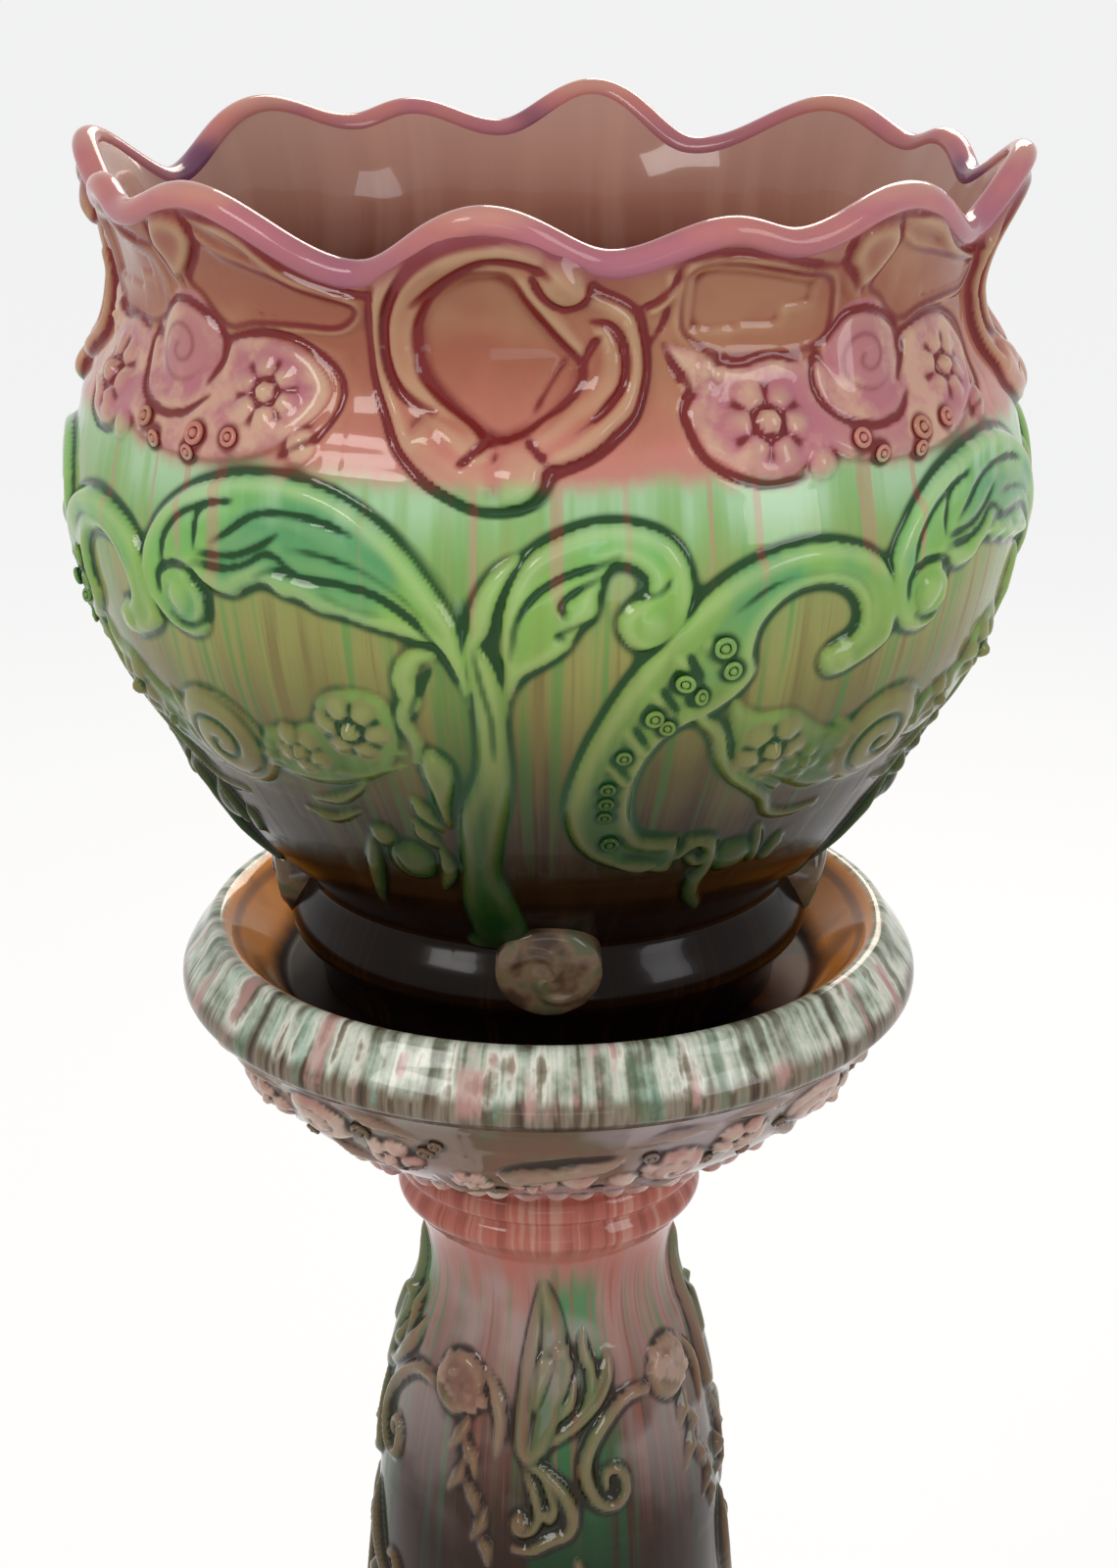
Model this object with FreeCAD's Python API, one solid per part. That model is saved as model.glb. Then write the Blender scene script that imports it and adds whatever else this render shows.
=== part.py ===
import FreeCAD, Part
import math
import os
from FreeCAD import Vector

# A glazed earthenware jardiniere standing in the dished top of its pedestal. Both are hollow
# castings with an even wall. Millimetres, +Z up. The origin is on the floor, under the middle
# of the pedestal's open base, and the front medallion of the jardiniere faces -Y.

# Pedestal: radii, heights above the floor, drops below the deck that carries the jardiniere, and
# the directions in which its cove and shaft begin
PEDESTAL_WALL = 9.0
DECK_HEIGHT = 654.0
DECK_RADIUS = 110.0
BASE_RADIUS = 145.0
BASE_EDGE_HEIGHT = 24.0
COVE_START = (-1.6, 0.4)
COVE_TOP_RADIUS = 79.0
COVE_TOP_HEIGHT = 122.0
BASE_BEAD_RADIUS = 84.0
BASE_BEAD_HEIGHT = 132.0
ANKLE_RADIUS = 71.0
ANKLE_HEIGHT = 160.0
ANKLE_START = (0.12, 1)
BELLY_RADIUS = 82.0
BELLY_HEIGHT = 330.0
SHAFT_SHOULDER_RADIUS = 71.0
SHAFT_SHOULDER_DROP = 204.0
NECK_RADIUS = 52.5
NECK_DROP = 134.0

# Collar of two rings between the shaft and the dish
COLLAR_RADIUS = 61.5
COLLAR_RING = 5.0
COLLAR_DROP = 106.0
COLLAR_LENGTH = 26.0

# Dished top of the pedestal: a saucer with a stepped, sloping rim band round the flat deck. Its
# widest edge is level with the deck, and the band and crest rise above that.
DISH_RADIUS = 154.3
DISH_STEP = 5.0
DISH_STEP_DROP = 6.0
DISH_BAND_RADIUS = 149.3
DISH_BAND_RISE = 13.0
DISH_CREST_RADIUS = 138.0
DISH_CREST_WIDTH = 6.0
DISH_CREST_RISE = 26.0
SAUCER_BULGE = 11.0

# Jardiniere: radii, and heights above the face of its foot
BOWL_WALL = 8.0
BOWL_HEIGHT = 346.0
FOOT_RADIUS = 95.0
FOOT_FLARE_RADIUS = 107.0
FOOT_FLARE_HEIGHT = 26.0
FOOT_COVE_RADIUS = 98.0
FOOT_COVE_HEIGHT = 36.0
FOOT_RECESS_RADIUS = 84.0
FOOT_RECESS_DEPTH = 4.0
POT_FLOOR_RADIUS = 72.0
WAIST_RADIUS = 96.0
WAIST_HEIGHT = 44.0
FLANK_RADIUS = 146.0
FLANK_HEIGHT = 106.0
SHOULDER_RADIUS = 187.5
SHOULDER_HEIGHT = 210.0
LEDGE_RADIUS = 181.5
LEDGE_HEIGHT = 253.0
MOUTH_RADIUS = 167.0
MOUTH_HEIGHT = 288.0

# Rosettes on the foot, one under each medallion
ROSETTE_COUNT = 4
ROSETTE_RADIUS = 19.0
ROSETTE_DOME = 4.0
ROSETTE_HEIGHT = 46.0
ROSETTE_FACE_RADIUS = 113.0
ROSETTE_LEAN_DEG = 13.0

# Wavy rim. Angles run from the front, -Y, towards +X. Each row of one quarter's wave: degrees,
# how far the rim reaches beyond the mouth, and how far it lies below the tallest crest. The lip's
# flat top and rounded edges are shares of its thickness. At the flare's height above the mouth,
# the neck follows the wave by the share given.
RIM_LIP_THICKNESS = 9.5
LIP_TOP_FLAT = 0.4
LIP_ROUNDING = 0.7
FLARE_HEIGHT = 23.0
FLARE_FOLLOW = 0.45
RIM_REPEATS = 4
RIM_POLES_PER_REPEAT = 12
RIM_WAVE = (
    (-6.5, 13.0, 0.0),
    (7.4, 1.5, 16.2),
    (20.8, 5.2, 6.2),
    (29.2, 5.5, 11.6),
    (44.8, 6.0, 0.5),
    (67.1, -1.1, 22.0),
)

# Cast relief, alike in every quarter. It stands on the surface and is sunk into it by its root. A
# band has a flat crest, which is a share of its width, between sloping sides. Each of its stations:
# degrees, height above the foot or drop below the deck, half width, rise. A button: the same.
RELIEF_ROOT = 3.0
RELIEF_CREST = 0.5
BUTTON_SIDES = 7
STEM = (
    (-9.5, 62, 10, 4.2), (-9.9, 90, 9.5, 4.2), (-8.7, 124, 9, 4.2), (-6.5, 152, 6.5, 4.2),
    (-6.7, 184, 6.5, 4.4), (-5.6, 212, 5, 4.0), (-3.4, 228, 2, 3.0),
)
LEAF_SCROLL = (
    (-8.2, 180, 5, 4.4), (-11.2, 206, 8, 5.2), (-16.4, 223, 12, 5.4), (-23, 233, 13.5, 5.4),
    (-31, 236, 13, 5.4), (-39.4, 230, 10, 5.0), (-45.6, 217, 8, 5.0), (-47, 202, 6.5, 5.0),
    (-43.6, 196, 7.5, 5.2),
)
CURLED_LEAF = (
    (-3.6, 186, 5, 4.4), (-2.6, 210, 7, 4.8), (0.4, 226, 8, 4.8), (5.6, 235.6, 7.5, 4.8),
    (10.6, 230, 7.5, 4.8), (12.6, 216, 7, 4.6), (10.8, 204, 7.5, 4.6),
)
C_SCROLL = (
    (16, 103.5, 7, 3.6), (9.6, 108, 9, 4.4), (6.3, 124, 11, 4.6), (7, 150, 11.5, 4.6),
    (11.4, 176, 13, 4.6), (16.6, 200, 12, 4.8), (22, 216.6, 8.5, 4.8), (29.6, 221, 7.5, 4.8),
    (35.6, 213, 7, 4.6), (38, 198, 6, 4.6), (34.6, 185, 6.5, 4.6),
)
MEDALLION_FRAME = (
    (-4.4, 324, 5, 3.6), (-12.4, 322, 6, 4.4), (-16.6, 306, 7, 4.6), (-16.8, 288, 7.5, 4.6),
    (-13.6, 268, 8, 4.6), (-6, 254.6, 10, 5.4), (1, 264, 7.5, 4.6), (6.6, 284, 7.5, 4.6),
    (5.6, 304, 7, 4.6), (1.4, 317, 5, 4.2), (-4.4, 324, 5, 3.6),
)
BODY_BANDS = (STEM, LEAF_SCROLL, CURLED_LEAF, C_SCROLL, MEDALLION_FRAME)
BODY_BUTTONS = (
    (41.5, 288, 19, 5.6), (27.9, 278, 18, 5.0), (55.1, 278, 18, 5.0),
    (27.2, 151, 15, 5.0), (-22.8, 161, 14, 5.0), (-44.4, 143, 19, 5.6),
)
SPEAR_LEAF = (
    (-1, -124, 2, 2.0), (-2.2, -146, 7, 4.2), (-2.4, -172, 11, 4.4), (-5, -194, 8, 4.6), (-6, -204, 3, 4.0),
)
S_SCROLL = (
    (39, -179, 4, 4.6), (27, -181, 4.5, 5.0), (15.6, -196, 4.5, 5.0), (12.6, -212, 4.5, 5.0),
    (18.6, -225, 4.5, 5.0), (25.4, -216, 4.5, 5.0),
)
DROPPED_SCROLL = (
    (25, -160, 4, 5.0), (15, -180, 5, 5.4), (0, -193, 4, 5.0), (5.6, -220, 4.5, 5.0),
    (0, -238, 4.5, 5.0), (-10, -243, 4, 5.0),
)
LOWER_SCROLL = (
    (-9, -262, 4.5, 4.6), (-8.6, -292, 4.5, 4.6), (4, -317, 4.5, 4.6), (13, -310, 4.5, 4.6), (8, -298, 4, 4.6),
)
SHAFT_BANDS = (SPEAR_LEAF, S_SCROLL, DROPPED_SCROLL, LOWER_SCROLL)
STAND_BUTTONS = (
    (48, -173, 12, 5.0), (45, -302, 12, 4.6), (-40.5, -20, 12, 4.6), (-14.6, -43, 9, 3.4),
    (5, -39, 11, 3.8), (28, -31, 12, 4.4),
)


def straight_runs(curve, runs):
    """The (radius, height) corners of a curve in the XZ plane cut into equal straight runs."""
    return [(point.x, point.z) for point in curve.toShape().discretize(Number=runs + 1)]


def bend(first, middle, last, runs):
    """An arc through three (radius, height) points, as straight runs."""
    return straight_runs(Part.Arc(*[Vector(r, 0, z) for r, z in (first, middle, last)]), runs)


def sweep(points, runs, start, end):
    """A smooth line through (radius, height) points from one direction to another, as runs."""
    curve = Part.BSplineCurve()
    curve.interpolate(Points=[Vector(r, 0, z) for r, z in points],
                      InitialTangent=Vector(start[0], 0, start[1]),
                      FinalTangent=Vector(end[0], 0, end[1]))
    return straight_runs(curve, runs)


def wall_line(points, wall):
    """The (radius, height) points one wall inside a line that runs upwards."""
    inside = []
    for index, (radius, height) in enumerate(points):
        before = points[max(index - 1, 0)]
        after = points[min(index + 1, len(points) - 1)]
        run = after[0] - before[0]
        rise = after[1] - before[1]
        length = math.hypot(run, rise)
        inside.append((radius - wall * rise / length, height + wall * run / length))
    return inside


def turned(outline):
    """The solid turned about Z from a closed outline of (radius, height) corners."""
    corners = []
    for radius, height in outline + outline[:1]:
        corner = Vector(radius, 0, height)
        if not corners or corner.distanceToPoint(corners[-1]) > 1e-6:
            corners.append(corner)
    return Part.Face(Part.makePolygon(corners)).revolve(Vector(0, 0, 0), Vector(0, 0, 1), 360)


def along(line, height):
    """The radius of a (radius, height) line at a height, and how far it widens per mm of height."""
    for (radius, low), (end_radius, high) in zip(line, line[1:]):
        if low <= height <= high and high > low:
            slope = (end_radius - radius) / (high - low)
            return radius + slope * (height - low), slope
    raise ValueError("no part of the line is at height %s" % height)


def surface_frame(line_at, degrees, height):
    """A place on a turned surface, and its directions outwards, round the axis and up."""
    radius, slope = along(line_at(degrees), height)
    angle = math.radians(degrees)
    away = Vector(math.sin(angle), -math.cos(angle), 0)
    out = (away - Vector(0, 0, slope)).normalize()
    across = Vector(math.cos(angle), math.sin(angle), 0)
    return away * radius + Vector(0, 0, height), out, across


def faceted(corner_faces):
    """The solid inside flat faces, each given by its corners."""
    faces = [Part.Face(Part.makePolygon(list(corners) + [corners[0]])) for corners in corner_faces]
    shell = Part.makeShell(faces)
    shell.sewShape()
    solid = Part.makeSolid(shell)
    if solid.Volume < 0:
        solid.reverse()
    return solid


def band(line_at, stations):
    """A raised band along stations on a turned surface."""
    frames = [surface_frame(line_at, degrees, height) for degrees, height, _, _ in stations]
    places = [place for place, _, _ in frames]
    closed = stations[0] == stations[-1]
    sections = []
    for index, ((place, out, _), (_, _, half, rise)) in enumerate(zip(frames, stations)):
        before = places[-2] if closed and index == 0 else places[max(index - 1, 0)]
        after = places[1] if closed and index == len(places) - 1 else places[min(index + 1, len(places) - 1)]
        side = (after - before).cross(out).normalize()
        root = place - out * RELIEF_ROOT
        top = place + out * rise
        crest = side * half * RELIEF_CREST
        sections.append([root - side * half, root + side * half, top + crest, top - crest])
    faces = []
    for near, far in zip(sections, sections[1:]):
        for here in range(4):
            there = (here + 1) % 4
            faces.append((near[here], near[there], far[there]))
            faces.append((near[here], far[there], far[here]))
    if not closed:
        faces += [sections[0], sections[-1]]
    return faceted(faces)


def button(line_at, degrees, height, size, rise):
    """A raised flat-topped boss on a turned surface."""
    place, out, across = surface_frame(line_at, degrees, height)
    up = out.cross(across)
    rings = []
    for reach, lift in ((size, -RELIEF_ROOT), (size, 0), (size * RELIEF_CREST, rise)):
        corners = []
        for index in range(BUTTON_SIDES):
            turn = 2 * math.pi * index / BUTTON_SIDES
            corners.append(place + out * lift + (across * math.cos(turn) + up * math.sin(turn)) * reach)
        rings.append(corners)
    faces = [rings[0], rings[-1]]
    for low, high in zip(rings, rings[1:]):
        for here in range(BUTTON_SIDES):
            there = (here + 1) % BUTTON_SIDES
            faces.append((low[here], low[there], high[there], high[here]))
    return faceted(faces)


def relief(line_at, bands, buttons):
    """All the bands and buttons of a piece, repeated in its four quarters."""
    quarter = [band(line_at, stations) for stations in bands]
    quarter += [button(line_at, *values) for values in buttons]
    solids = []
    for index in range(RIM_REPEATS):
        for solid in quarter:
            turned_copy = solid.copy()
            turned_copy.rotate(Vector(0, 0, 0), Vector(0, 0, 1), index * 360.0 / RIM_REPEATS)
            solids.append(turned_copy)
    return solids


def pedestal():
    """Flared open base, swelling shaft, ringed collar and dished top, in one casting."""
    upwards = (0, 1)
    foot_width = BASE_EDGE_HEIGHT / 3
    foot = (BASE_RADIUS - foot_width / 4, 0)
    edge_top = (BASE_RADIUS - foot_width, BASE_EDGE_HEIGHT)
    cove_top = (COVE_TOP_RADIUS, COVE_TOP_HEIGHT)
    cove = sweep([edge_top, cove_top], 4, COVE_START, upwards)
    bead_top = (COVE_TOP_RADIUS, 2 * BASE_BEAD_HEIGHT - COVE_TOP_HEIGHT)
    belly = (BELLY_RADIUS, BELLY_HEIGHT)
    shoulder = (SHAFT_SHOULDER_RADIUS, DECK_HEIGHT - SHAFT_SHOULDER_DROP)
    neck = (NECK_RADIUS, DECK_HEIGHT - NECK_DROP)
    collar = (COLLAR_RADIUS, DECK_HEIGHT - COLLAR_DROP)
    shaft = sweep([(ANKLE_RADIUS, ANKLE_HEIGHT), belly], 2, ANKLE_START, upwards)
    shaft += sweep([belly, shoulder, neck], 4, upwards, upwards)[1:]
    shaft += sweep([neck, collar], 2, upwards, (1, 1))[1:]

    ring = COLLAR_LENGTH / 2
    proud = COLLAR_RADIUS + COLLAR_RING
    collar_middle = (COLLAR_RADIUS, collar[1] + ring)
    collar_top = (COLLAR_RADIUS, collar[1] + COLLAR_LENGTH)
    lower_ring = bend(collar, (proud, collar[1] + ring / 2), collar_middle, 2)
    upper_ring = bend(collar_middle, (proud, collar_middle[1] + ring / 2), collar_top, 2)

    step = (DISH_RADIUS - DISH_STEP, DECK_HEIGHT - DISH_STEP_DROP)
    chord = math.hypot(step[0] - collar_top[0], step[1] - collar_top[1])
    saucer_middle = (0.5 * (step[0] + collar_top[0]) + SAUCER_BULGE * (step[1] - collar_top[1]) / chord,
                     0.5 * (step[1] + collar_top[1]) - SAUCER_BULGE * (step[0] - collar_top[0]) / chord)
    saucer = bend(collar_top, saucer_middle, step, 4)
    band_top = (DISH_BAND_RADIUS, DECK_HEIGHT + DISH_BAND_RISE)
    rim_band = bend((DISH_RADIUS, DECK_HEIGHT), (DISH_RADIUS, DECK_HEIGHT + DISH_STEP), band_top, 2)
    crest_half = DISH_CREST_WIDTH / 2
    crest_top = (DISH_CREST_RADIUS, DECK_HEIGHT + DISH_CREST_RISE)
    crest_side = crest_top[1] - crest_half / 2
    crest = bend((DISH_CREST_RADIUS + crest_half, crest_side), crest_top,
                 (DISH_CREST_RADIUS - crest_half, crest_side), 2)
    deck = [(DECK_RADIUS, DECK_HEIGHT), (0, DECK_HEIGHT)]

    under_deck = DECK_HEIGHT - PEDESTAL_WALL
    bore = (collar[0] - PEDESTAL_WALL, collar_top[1] + PEDESTAL_WALL)
    hollow_rim = (DECK_RADIUS, under_deck)
    saucer_inside = bend(hollow_rim, (saucer_middle[0], saucer_middle[1] + PEDESTAL_WALL), bore, 2)
    shaft_inside = wall_line([(ANKLE_RADIUS, ANKLE_HEIGHT), belly, shoulder, neck], PEDESTAL_WALL)
    cove_inside = wall_line([cove[0], cove[2], cove[-1]], PEDESTAL_WALL)
    hollow = [(0, under_deck)] + saucer_inside + shaft_inside[::-1] + cove_inside[1::-1]
    base = [(BASE_RADIUS - PEDESTAL_WALL, 0), foot]
    plain = turned(base + bend(foot, (BASE_RADIUS, BASE_EDGE_HEIGHT / 2), edge_top, 2) + cove
                   + bend(cove_top, (BASE_BEAD_RADIUS, BASE_BEAD_HEIGHT), bead_top, 2)
                   + shaft + lower_ring + upper_ring + saucer + rim_band + crest + deck + hollow)
    plain.translate(Vector(0, 0, -DECK_HEIGHT))
    below_deck = [(radius, height - DECK_HEIGHT) for radius, height in shaft + saucer]
    solid = plain.fuse(relief(lambda degrees: below_deck, SHAFT_BANDS, STAND_BUTTONS))
    solid.translate(Vector(0, 0, DECK_HEIGHT))
    return solid


def body_lines():
    """The jardiniere's outer and inner lines below its rim, each from the waist upwards."""
    upwards = (0, 1)
    outwards = (0.55, 1)
    stations = [
        (WAIST_RADIUS, WAIST_HEIGHT),
        (FLANK_RADIUS, FLANK_HEIGHT),
        (SHOULDER_RADIUS, SHOULDER_HEIGHT),
        (LEDGE_RADIUS, LEDGE_HEIGHT),
        (MOUTH_RADIUS, MOUTH_HEIGHT),
    ]
    inside = wall_line(stations, BOWL_WALL)
    inside[0] = (WAIST_RADIUS - BOWL_WALL, WAIST_HEIGHT)
    inside[-1] = (MOUTH_RADIUS - BOWL_WALL, MOUTH_HEIGHT)
    return sweep(stations, 9, outwards, upwards), sweep(inside, 5, outwards, upwards)


def wave_at(degrees):
    """Reach and drop of the rim at an angle, easing from each crest or valley to the next."""
    period = 360.0 / RIM_REPEATS
    first = RIM_WAVE[0]
    stations = list(RIM_WAVE) + [(first[0] + period, first[1], first[2])]
    place = (degrees - first[0]) % period + first[0]
    for before, after in zip(stations, stations[1:]):
        if place <= after[0]:
            break
    ease = 0.5 - 0.5 * math.cos(math.pi * (place - before[0]) / (after[0] - before[0]))
    return [before[i] + ease * (after[i] - before[i]) for i in (1, 2)]


def ring(radius, height, follow):
    """One closed ring round the jardiniere, begun at +X.

    Follow says how much of the rim's wave the ring takes: none in the body, which is round, and
    all in the lip. Each pole stands out from its point by a sixth of the bend there, so that the
    closed cubic curve passes through the points. That curve begins at its second pole.
    """
    if follow == 0:
        return Part.Wire(Part.Circle(Vector(0, 0, height), Vector(0, 0, 1), radius).toShape())
    count = RIM_POLES_PER_REPEAT * RIM_REPEATS
    points = []
    for index in range(count):
        degrees = 90 + 360.0 * (index - 1) / count
        reach, drop = wave_at(degrees)
        angle = math.radians(degrees)
        reached = radius + follow * reach
        points.append(Vector(reached * math.sin(angle), -reached * math.cos(angle),
                             height - follow * drop))
    poles = []
    for index, point in enumerate(points):
        bending = points[index - 1] + points[(index + 1) % count] - point * 2
        poles.append(point - bending / 6)
    curve = Part.BSplineCurve()
    curve.buildFromPolesMultsKnots(poles, [1] * (count + 1), list(range(count + 1)), True, 3)
    return Part.Wire(curve.toShape())


def casting():
    """The jardiniere's skin, from its foot up the outside, over the waved lip and down inside."""
    half_lip = RIM_LIP_THICKNESS / 2
    half_flat = LIP_TOP_FLAT * half_lip
    lip_edge = BOWL_HEIGHT - LIP_ROUNDING * RIM_LIP_THICKNESS
    flare = MOUTH_HEIGHT + FLARE_HEIGHT
    outer, inner = body_lines()
    floor_height = FOOT_RECESS_DEPTH + BOWL_WALL
    foot = [(FOOT_RADIUS, 0), (FOOT_FLARE_RADIUS, FOOT_FLARE_HEIGHT), (FOOT_COVE_RADIUS, FOOT_COVE_HEIGHT)]
    floor_corner = (0.25 * POT_FLOOR_RADIUS + 0.75 * inner[0][0],
                    0.75 * floor_height + 0.25 * inner[0][1])
    floor = [floor_corner, (POT_FLOOR_RADIUS, floor_height)]
    rows = [(radius, height, 0) for radius, height in foot + outer]
    rows += [
        (MOUTH_RADIUS, flare, FLARE_FOLLOW),
        (MOUTH_RADIUS + half_lip, lip_edge, 1),
        (MOUTH_RADIUS + half_flat, BOWL_HEIGHT, 1),
        (MOUTH_RADIUS - half_flat, BOWL_HEIGHT, 1),
        (MOUTH_RADIUS - half_lip, lip_edge, 1),
        (MOUTH_RADIUS - BOWL_WALL, flare, FLARE_FOLLOW),
    ]
    rows += [(radius, height, 0) for radius, height in inner[::-1] + floor]
    solid = Part.makeLoft([ring(*row) for row in rows], True, True, False)
    return solid.cut(Part.makeCylinder(FOOT_RECESS_RADIUS, FOOT_RECESS_DEPTH))


def outer_line(degrees):
    """The jardiniere's outer line at an angle, from its waist to the edge of its lip."""
    reach, drop = wave_at(degrees)
    outer, _ = body_lines()
    return outer + [
        (MOUTH_RADIUS + FLARE_FOLLOW * reach, MOUTH_HEIGHT + FLARE_HEIGHT - FLARE_FOLLOW * drop),
        (MOUTH_RADIUS + RIM_LIP_THICKNESS / 2 + reach, BOWL_HEIGHT - LIP_ROUNDING * RIM_LIP_THICKNESS - drop),
    ]


def rosette():
    """The domed button that stands out of the foot at the front, leaning outwards."""
    depth = ROSETTE_FACE_RADIUS - WAIST_RADIUS - 1
    rim = (ROSETTE_RADIUS, depth - ROSETTE_DOME)
    face = (ROSETTE_RADIUS / 2, depth)
    button = turned([(0, 0), (ROSETTE_RADIUS, 0), rim, face, (0, depth)])
    button.rotate(Vector(0, 0, 0), Vector(1, 0, 0), 90 + ROSETTE_LEAN_DEG)
    button.translate(Vector(0, depth - ROSETTE_FACE_RADIUS, ROSETTE_HEIGHT))
    return button


def jardiniere():
    """The whole jardiniere, standing on the pedestal's deck."""
    rosettes = []
    for index in range(ROSETTE_COUNT):
        boss = rosette()
        boss.rotate(Vector(0, 0, 0), Vector(0, 0, 1), index * 360.0 / ROSETTE_COUNT)
        rosettes.append(boss)
    solid = casting().fuse(rosettes + relief(outer_line, BODY_BANDS, BODY_BUTTONS))
    solid.translate(Vector(0, 0, DECK_HEIGHT))
    return solid


def save(name, shape):
    """Write one piece to its own file and print what it holds."""
    solids = shape.Solids
    print(name, "solids", len(solids), "valid", shape.isValid(), "litres", round(shape.Volume / 1e6, 3))
    piece = solids[0] if len(solids) == 1 else shape
    piece.exportStep(os.path.join("parts", name + ".step"))


os.makedirs("parts", exist_ok=True)
save("pedestal", pedestal())
save("jardiniere", jardiniere())
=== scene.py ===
import functools
import math

import bmesh
import bpy
import numpy as np
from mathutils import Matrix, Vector


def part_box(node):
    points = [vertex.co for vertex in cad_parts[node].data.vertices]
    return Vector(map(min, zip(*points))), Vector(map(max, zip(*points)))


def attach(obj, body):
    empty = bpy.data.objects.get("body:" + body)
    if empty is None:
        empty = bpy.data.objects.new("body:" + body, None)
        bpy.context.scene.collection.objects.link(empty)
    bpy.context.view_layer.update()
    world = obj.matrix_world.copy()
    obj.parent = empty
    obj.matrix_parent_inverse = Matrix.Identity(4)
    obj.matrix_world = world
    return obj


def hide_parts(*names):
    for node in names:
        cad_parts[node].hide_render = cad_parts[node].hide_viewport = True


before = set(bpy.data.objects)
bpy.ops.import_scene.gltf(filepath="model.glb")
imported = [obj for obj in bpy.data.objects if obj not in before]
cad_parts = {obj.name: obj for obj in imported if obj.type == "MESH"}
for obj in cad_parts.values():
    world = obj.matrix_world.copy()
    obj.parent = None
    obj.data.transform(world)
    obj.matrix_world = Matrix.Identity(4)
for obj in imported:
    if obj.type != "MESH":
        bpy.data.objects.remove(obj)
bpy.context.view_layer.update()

bl_info = {
    "name": "Jardiniere on stand",
    "version": (1, 0, 0),
    "blender": (4, 5, 0),
    "location": "3D View > Sidebar > Jardiniere",
    "description": "Carved and glazed surfaces for a jardiniere on its pedestal, with its stage",
    "category": "Add Mesh",
}

# Places on the object are in millimetres above the floor and degrees round its axis, counted from
# the front, -Y, towards +X. Blender's own metres come in only where a mesh is made.
MM = 0.001
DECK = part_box("jardiniere")[0][2] / MM
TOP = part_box("jardiniere")[1][2] / MM
QUARTER = 90.0

# The rim's wave over one quarter, as the solid has it: degrees, reach beyond the neck and drop
NECK_RADIUS = 167.0
WAVE = (
    (-6.5, 13.0, 0.0), (7.4, 1.5, 16.2), (20.8, 5.2, 6.2), (29.2, 5.5, 11.6), (44.8, 6.0, 0.5),
    (67.1, -1.1, 22.0),
)

# Lines of the bowl and of the pedestal without their relief: (radius, height)
BOWL_FOOT_LINE = (
    (84, DECK), (93, DECK), (94.6, 656), (96, 663), (100, 671), (105, 676.6), (107.4, 681), (107, 686),
    (105, 691.6), (102.4, 696.4), (100.6, 699.6),
)
BOWL_BODY_LINE = (
    (100.6, 699.6), (99.8, 702), (100.8, 705), (105.4, 710.4), (113.5, 718), (125.5, 731), (135.5, 745),
    (145, 760), (154, 775), (163, 790), (171, 805), (177.5, 820), (181.8, 835), (185, 850), (186.8, 865),
    (186, 880), (184.6, 889), (182.4, 898), (180.6, 906), (177.6, 912), (174.8, 919), (169.5, 927),
    (166, 936), (164.4, 945),
)
NECK_BASE = (164.4, 945.0)
BOWL_INSIDE_LINE = (
    (156.5, 945), (158.5, 930), (166, 915), (173, 900), (177.8, 880), (178.8, 865), (176, 845), (168, 820),
    (154, 792), (136, 763), (117, 737), (99, 712), (87, 692), (82, 676), (76, 668.5), (66, 666.2),
    (0, 666.2),
)
DISH_LINE = (
    (0, 654.2), (108, 654.2), (112.5, 656), (130.5, 674.5), (134.5, 678.2), (138, 679.6), (141.5, 678.4),
    (145.5, 672.4), (149.6, 667), (153, 661), (153.8, 657), (153.2, 653.4), (150.2, 650.6), (147.8, 648.4),
)
SAUCER_LINE = (
    (147.8, 648.4), (143.5, 643.4), (138, 635.8), (131.5, 626.4), (124.5, 617.2), (116, 608.2),
    (105.5, 600), (93, 592.6), (80, 586.6), (69, 581), (63.2, 576.6),
)
COLLAR_LINE = (
    (63.2, 576.6), (62.6, 574), (65, 571.5), (66.2, 567.5), (65.6, 563.5), (62.4, 560.8), (64, 558),
    (65.6, 554), (64.6, 550), (61.4, 546.6), (57.6, 541), (54.2, 532), (52.6, 521), (53.2, 511),
)
SHAFT_LINE = (
    (53.2, 511), (56, 500), (60, 490), (65.4, 471), (70, 451), (73.5, 431), (75.8, 411), (77.4, 391),
    (78.8, 366), (79.8, 340), (79.6, 310), (78.6, 270), (76.4, 230), (73.6, 195), (71.4, 172), (71, 160),
)
BASE_LINE = (
    (71, 160), (73, 150), (78.4, 143.4), (82, 138), (83.6, 132), (82, 126), (79.4, 121.6), (81, 108),
    (86, 90), (95, 71), (107, 54), (121, 39.5), (134, 29), (139, 24.6), (142.4, 21), (144.6, 13), (144, 4),
    (142.8, 0.2), (136, 0.2),
)
STAND_HOLLOW_LINE = (
    (136, 0.2), (128, 17), (98, 36), (80, 60), (67, 110), (62, 161), (69, 240), (72, 330), (62, 449),
    (44, 520), (50, 562), (54, 584), (66, 593), (80, 599), (92, 606), (101, 615), (106, 626), (104, 640),
    (60, 644), (0, 644),
)
# Radii of two rows across the dish's flat middle, and how far the lowest edges stay above the floor
DISH_MIDDLE = (0.5, 54)
FLOOR_GAP = 0.05

# The neck flares from its base to the lip, which covers the upper ends of both its sides
NECK_CLIMB = 52
NECK_FLARE = 1.9
HALF_WALL = 4.8
LIP_COVER = 6
RIM_BAND = 7.0
LIP_GAP = 0.1

# How the joint between body and neck is smoothed, how high the foot's underside is hollowed, and the
# height above which the body's line serves the carving
JOINT_REACH = 14
JOINT_BLUR = 8
FOOT_HOLLOW = 4
CARVED_FROM = 701

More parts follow.
